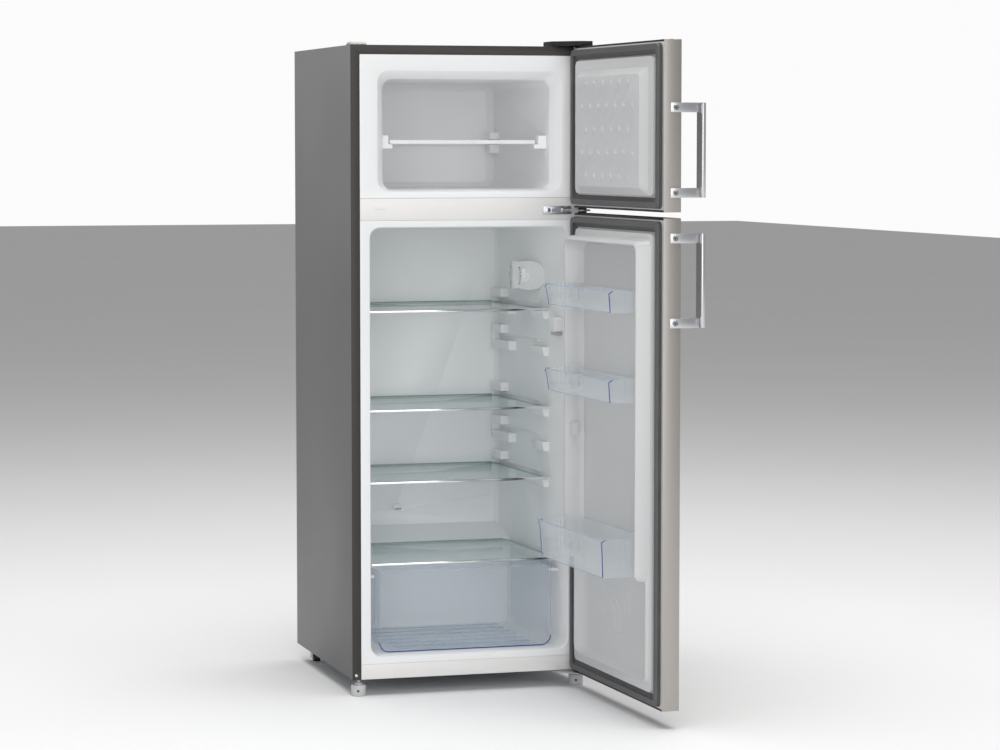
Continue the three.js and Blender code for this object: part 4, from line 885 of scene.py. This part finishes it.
class REFRIGERATOR_OT_bins(bpy.types.Operator):
    """Clear door bins with ribbed ends, a front lip and tinted corners"""

    bl_idname = "refrigerator.bins"
    bl_label = "Build the door bins"

    REACH = {"upper_bin": 82, "middle_bin": 82, "bottle_bin": 97}

    def execute(self, context):
        for node, front in self.REACH.items():
            refined(node, node.replace("_bin", "_door_bin"), "clear", edge=0.6, slot="clear_plastic")
            low, high = level(node, "bottom"), level(node)
            self.corners(node, front, low, high, context.scene.refrigerator_detail.bead_radius)
            self.lip(node, front, low, high)
            self.ribs(node, front, low, high)
        return {"FINISHED"}

    def corners(self, node, front, low, high, radius):
        beads = []
        lean = 6
        for side in (-1, 1):
            x = side * (HALF - 72)
            cut = 2.4
            path = [(x - side * (lean + cut), front - lean - cut, low + 2),
                (x - side * (lean * 0.3 + cut), front - lean * 0.3 - cut, high - 12),
                    (x - side * (cut - 1.5), front - cut + 0.6, high - 6),
                        (x - side * cut, front - cut - 9, high - 0.5)]
            beads.append(bead(f"corner{side}", path, radius * 0.85, on_door))
        add_piece(merge(f"{node}_tinted_corners", beads), node, "clear_plastic", "blue")

    def lip(self, node, front, low, high):
        x = HALF - 72 - 6
        line = bead(f"{node}_front_lip", [(-x, front - 0.6, high - 0.9), (x, front - 0.6, high - 0.9)],
            1.2, on_door)
        add_piece(line, node, "clear_plastic", "pale_blue")
        under = bead(f"{node}_lower_edge",
            [(-x + 4, front - 7.2, low + 1.8), (x - 4, front - 7.2, low + 1.8)], 1.0, on_door)
        add_piece(under, node, "clear_plastic", "pale_blue")

    def ribs(self, node, front, low, high):
        """Upright ribs on both end walls, where the bin hangs on the door."""
        rows = []
        for side in (-1, 1):
            x = side * (HALF - 72 + 0.9)
            piece = rod(f"rib{side}", (x, 22, low + 10),
                (x, 22, high + 3 if node != "bottle_bin" else high - 4), 1.0, on_door, 8)
            rows.append(row(f"ribs{side}", piece, 4, offset(0, 10, 0, on_door), "clear"))
        add_piece(merge(f"{node}_end_ribs", rows), node, "clear_plastic")


# ------------------------------------------------------------------ controls


class REFRIGERATOR_OT_controls(bpy.types.Operator):
    """Thermostat housing, lamp lens, dial with its marks, and the light switch"""

    bl_idname = "refrigerator.controls"
    bl_label = "Build the controls"

    def execute(self, context):
        refined("thermostat_housing", "thermostat_hood", "white", angle=40, slot="white_liner")
        refined("lamp_lens", "lamp_window", "lens", angle=40, slot="lens")
        dress_node("lamp_bulb", "glass")
        refined("thermostat_knob", "thermostat_dial", "white", edge=0.7, slot="white_liner")
        refined("light_switch", "light_switch_case", "white", edge=1.4, segments=3, slot="white_liner")
        refined("light_switch_plunger", "light_switch_key", "grey", edge=0.6, slot="light_grey_plastic")
        self.marks()
        self.switch_ridges()
        return {"FINISHED"}

    def marks(self):
        low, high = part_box("thermostat_knob")
        y0 = ((low.y + high.y) / 2 - FRONT_Y) * 1000
        z0 = (low.z + high.z) * 500
        face = width_of("thermostat_housing")[0]
        dots = []
        for i in range(7):
            angle = math.radians(125 + i * 110 / 6)
            y, z = y0 + 22.5 * math.cos(angle), z0 + 22.5 * math.sin(angle)
            tip = 1.3 if i % 3 == 0 else 0.9
            loops = [[(face + d, u, v) for u, v in circle(y, z, tip, 12)] for d in (1.6, -0.25)]
            dots.append(skin(f"dot{i}", loops))
        add_piece(merge("dial_marks", dots), "cabinet", "black_plastic", "black")
        icon = bead("dial_badge", [(face + 0.5, y0 - 42 + 7 * math.cos(t / 3), z0 + 4.5 * math.sin(t / 3))
            for t in range(19)], 0.5, closed=True, sides=6)
        add_piece(icon, "cabinet", "white_liner", "strip")

    def switch_ridges(self):
        left, right = width_of("light_switch_plunger")
        front, rear = depth_of("light_switch_plunger")
        z = level("light_switch_plunger", "bottom")
        ridge = rod("ridge", (left, front + 4, z + 1.6), (left, front + 4, z + 6), 0.8, in_cabinet, 8)
        ridges = row("light_switch_key_ridges", ridge, 5, offset(0, 6, 0), "grey")
        add_piece(ridges, "light_switch_plunger", "light_grey_plastic")


# ------------------------------------------------------------------ machinery and feet


class REFRIGERATOR_OT_machinery(bpy.types.Operator):
    """Condenser with its wires, compressor, tray, base and rollers"""

    bl_idname = "refrigerator.machinery"
    bl_label = "Build the machinery"

    def execute(self, context):
        refined("condenser", "condenser_tube", "enamel", angle=50, slot="black_steel")
        refined("compressor", "compressor_can", "enamel", edge=1.2, angle=50, slot="black_steel")
        refined("compressor_base", "compressor_tray", "zinc", edge=0.5, slot="zinc_steel")
        refined("relay_cover", "relay_box", "black", edge=2.0, segments=3, slot="black_plastic")
        refined("cord_gland", "cord_bushing", "black", edge=0.5, slot="black_plastic")
        refined("evaporation_tray", "defrost_tray", "black", edge=0.8, slot="black_plastic")
        for side in ("left", "right"):
            refined(f"rear_{side}_roller", f"rear_{side}_wheel", "black", edge=1.5, slot="black_plastic")
        left, right = width_of("condenser")
        front, rear = depth_of("condenser")
        low, high = level("condenser", "bottom"), level("condenser")
        count = context.scene.refrigerator_detail.condenser_wires
        wire = rod("wire", (left + 50, rear - 1.2, low + 2), (left + 50, rear - 1.2, high - 2), 0.8,
            in_cabinet, 6)
        wires = row("condenser_wires", wire, count, offset((right - left - 100) / (count - 1), 0, 0),
            "enamel")
        add_piece(wires, "cabinet", "black_steel")
        return {"FINISHED"}


class REFRIGERATOR_OT_feet(bpy.types.Operator):
    """Front levelling feet with their adjusting holes"""

    bl_idname = "refrigerator.feet"
    bl_label = "Build the feet"

    def execute(self, context):
        for side in ("left", "right"):
            node = f"front_{side}_foot"
            refined(node, f"front_{side}_leveller", "foot", edge=0.8, slot="light_grey_plastic")
            low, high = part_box(node)
            x = ((low.x + high.x) / 2 - MIDDLE_X) * 1000
            y = ((low.y + high.y) / 2 - FRONT_Y) * 1000
            holes = []
            # Each adjusting hole is a near-black stub in the foot's side: painted shade in the hole.
            for turn in (-90, 150, 30):
                a = math.radians(turn - 17)
                inner, outer = 15.4, 16.75
                holes.append(rod(f"hole{turn}", (x + inner * math.cos(a), y + inner * math.sin(a), 12),
                                 (x + outer * math.cos(a), y + outer * math.sin(a), 12), 2.6, in_cabinet,
                                     16))
            add_piece(merge(f"front_{side}_foot_holes", holes), node, "light_grey_plastic", "dark_gap")
        return {"FINISHED"}


# ------------------------------------------------------------------ stage


class REFRIGERATOR_OT_stage(bpy.types.Operator):
    """Pale floor, soft lights and the camera"""

    bl_idname = "refrigerator.stage"
    bl_label = "Set the stage"

    def execute(self, context):
        studio = context.scene.refrigerator_studio
        context.scene.view_settings.view_transform = "Standard"
        context.scene.cycles.transparent_max_bounces = 32
        context.scene.cycles.diffuse_bounces = 8
        self.floor()
        self.room(studio.room_light)
        self.area("front_light", in_cabinet(-900, -5600, 1900), 4.0, studio.key_power)
        self.area("top_light", in_cabinet(0, 0, 5200), 5.0, studio.fill_power)
        self.camera(studio.focal_length)
        return {"FINISHED"}

    def floor(self):
        obj = block("pale_floor", (-16000, 16000), (-16000, 40000), (-20, 0))
        finish = Finish("pale_floor_finish")
        slow = finish.noise(0.8)
        finish.tones(slow, (0.93, 0.93, 0.93), (0.95, 0.95, 0.95), finish.shader.inputs["Base Color"])
        finish.shader.inputs["Roughness"].default_value = 0.9
        obj.data.materials.append(finish.material)

    def room(self, strength):
        world = bpy.data.worlds.new("soft_room")
        bpy.context.scene.world = world
        world.use_nodes = True
        nodes, links = world.node_tree.nodes, world.node_tree.links
        light = nodes["Background"]
        light.inputs["Color"].default_value = (1.0, 1.0, 1.0, 1)
        light.inputs["Strength"].default_value = strength
        seen = nodes.new("ShaderNodeBackground")
        seen.inputs["Color"].default_value = (0.97, 0.97, 0.97, 1)
        path = nodes.new("ShaderNodeLightPath")
        mix = nodes.new("ShaderNodeMixShader")
        links.new(path.outputs["Is Camera Ray"], mix.inputs["Fac"])
        links.new(light.outputs["Background"], mix.inputs[1])
        links.new(seen.outputs["Background"], mix.inputs[2])
        links.new(mix.outputs["Shader"], nodes["World Output"].inputs["Surface"])

    def area(self, name, place, size, power):
        light = bpy.data.lights.new(name, "AREA")
        light.size = size
        light.energy = power
        obj = bpy.data.objects.new(name, light)
        obj.location = place
        aim = in_cabinet(0, 0, 750) - obj.location
        obj.rotation_euler = aim.to_track_quat("-Z", "Y").to_euler()
        bpy.context.scene.collection.objects.link(obj)

    def camera(self, focal_length):
        data = bpy.data.cameras.new("front_camera")
        data.lens = focal_length
        data.sensor_width = 36
        data.clip_end = 200
        obj = bpy.data.objects.new("front_camera", data)
        obj.location = in_cabinet(-1908, -6596, 1212)
        yaw, pitch = math.radians(16.68), math.radians(4.226)
        aim = Vector((math.sin(yaw) * math.cos(pitch), math.cos(yaw) * math.cos(pitch), -math.sin(pitch)))
        obj.rotation_euler = aim.to_track_quat("-Z", "Y").to_euler()
        bpy.context.scene.collection.objects.link(obj)
        bpy.context.scene.camera = obj


# ------------------------------------------------------------------ panel and registration


OPERATORS = (
    REFRIGERATOR_OT_cabinet, REFRIGERATOR_OT_compartments, REFRIGERATOR_OT_hinges, REFRIGERATOR_OT_doors,
    REFRIGERATOR_OT_handles, REFRIGERATOR_OT_shelves, REFRIGERATOR_OT_drawer, REFRIGERATOR_OT_bins,
    REFRIGERATOR_OT_controls, REFRIGERATOR_OT_machinery, REFRIGERATOR_OT_feet, REFRIGERATOR_OT_stage,
)


class REFRIGERATOR_PT_panel(bpy.types.Panel):
    """Sizes, finishes and build steps of the refrigerator"""

    bl_idname = "REFRIGERATOR_PT_panel"
    bl_label = "Refrigerator"
    bl_space_type = "VIEW_3D"
    bl_region_type = "UI"
    bl_category = "Refrigerator"

    def draw(self, context):
        for group in (context.scene.refrigerator_finish, context.scene.refrigerator_detail,
            context.scene.refrigerator_studio):
            box = self.layout.box()
            for prop in group.bl_rna.properties:
                if not prop.is_readonly and prop.identifier != "name":
                    box.prop(group, prop.identifier)
        for operator in OPERATORS:
            self.layout.operator(operator.bl_idname)


CLASSES = (FinishSettings, DetailSettings, StudioSettings, *OPERATORS, REFRIGERATOR_PT_panel)


def register():
    for cls in CLASSES:
        bpy.utils.register_class(cls)
    bpy.types.Scene.refrigerator_finish = PointerProperty(type=FinishSettings)
    bpy.types.Scene.refrigerator_detail = PointerProperty(type=DetailSettings)
    bpy.types.Scene.refrigerator_studio = PointerProperty(type=StudioSettings)


def unregister():
    del bpy.types.Scene.refrigerator_studio
    del bpy.types.Scene.refrigerator_detail
    del bpy.types.Scene.refrigerator_finish
    for cls in reversed(CLASSES):
        bpy.utils.unregister_class(cls)


def main():
    register()
    make_materials()
    for step in ("cabinet", "compartments", "hinges", "doors", "handles", "shelves", "drawer", "bins",
                 "controls", "machinery", "feet", "stage"):
        getattr(bpy.ops.refrigerator, step)()


if __name__ == "__main__":
    main()
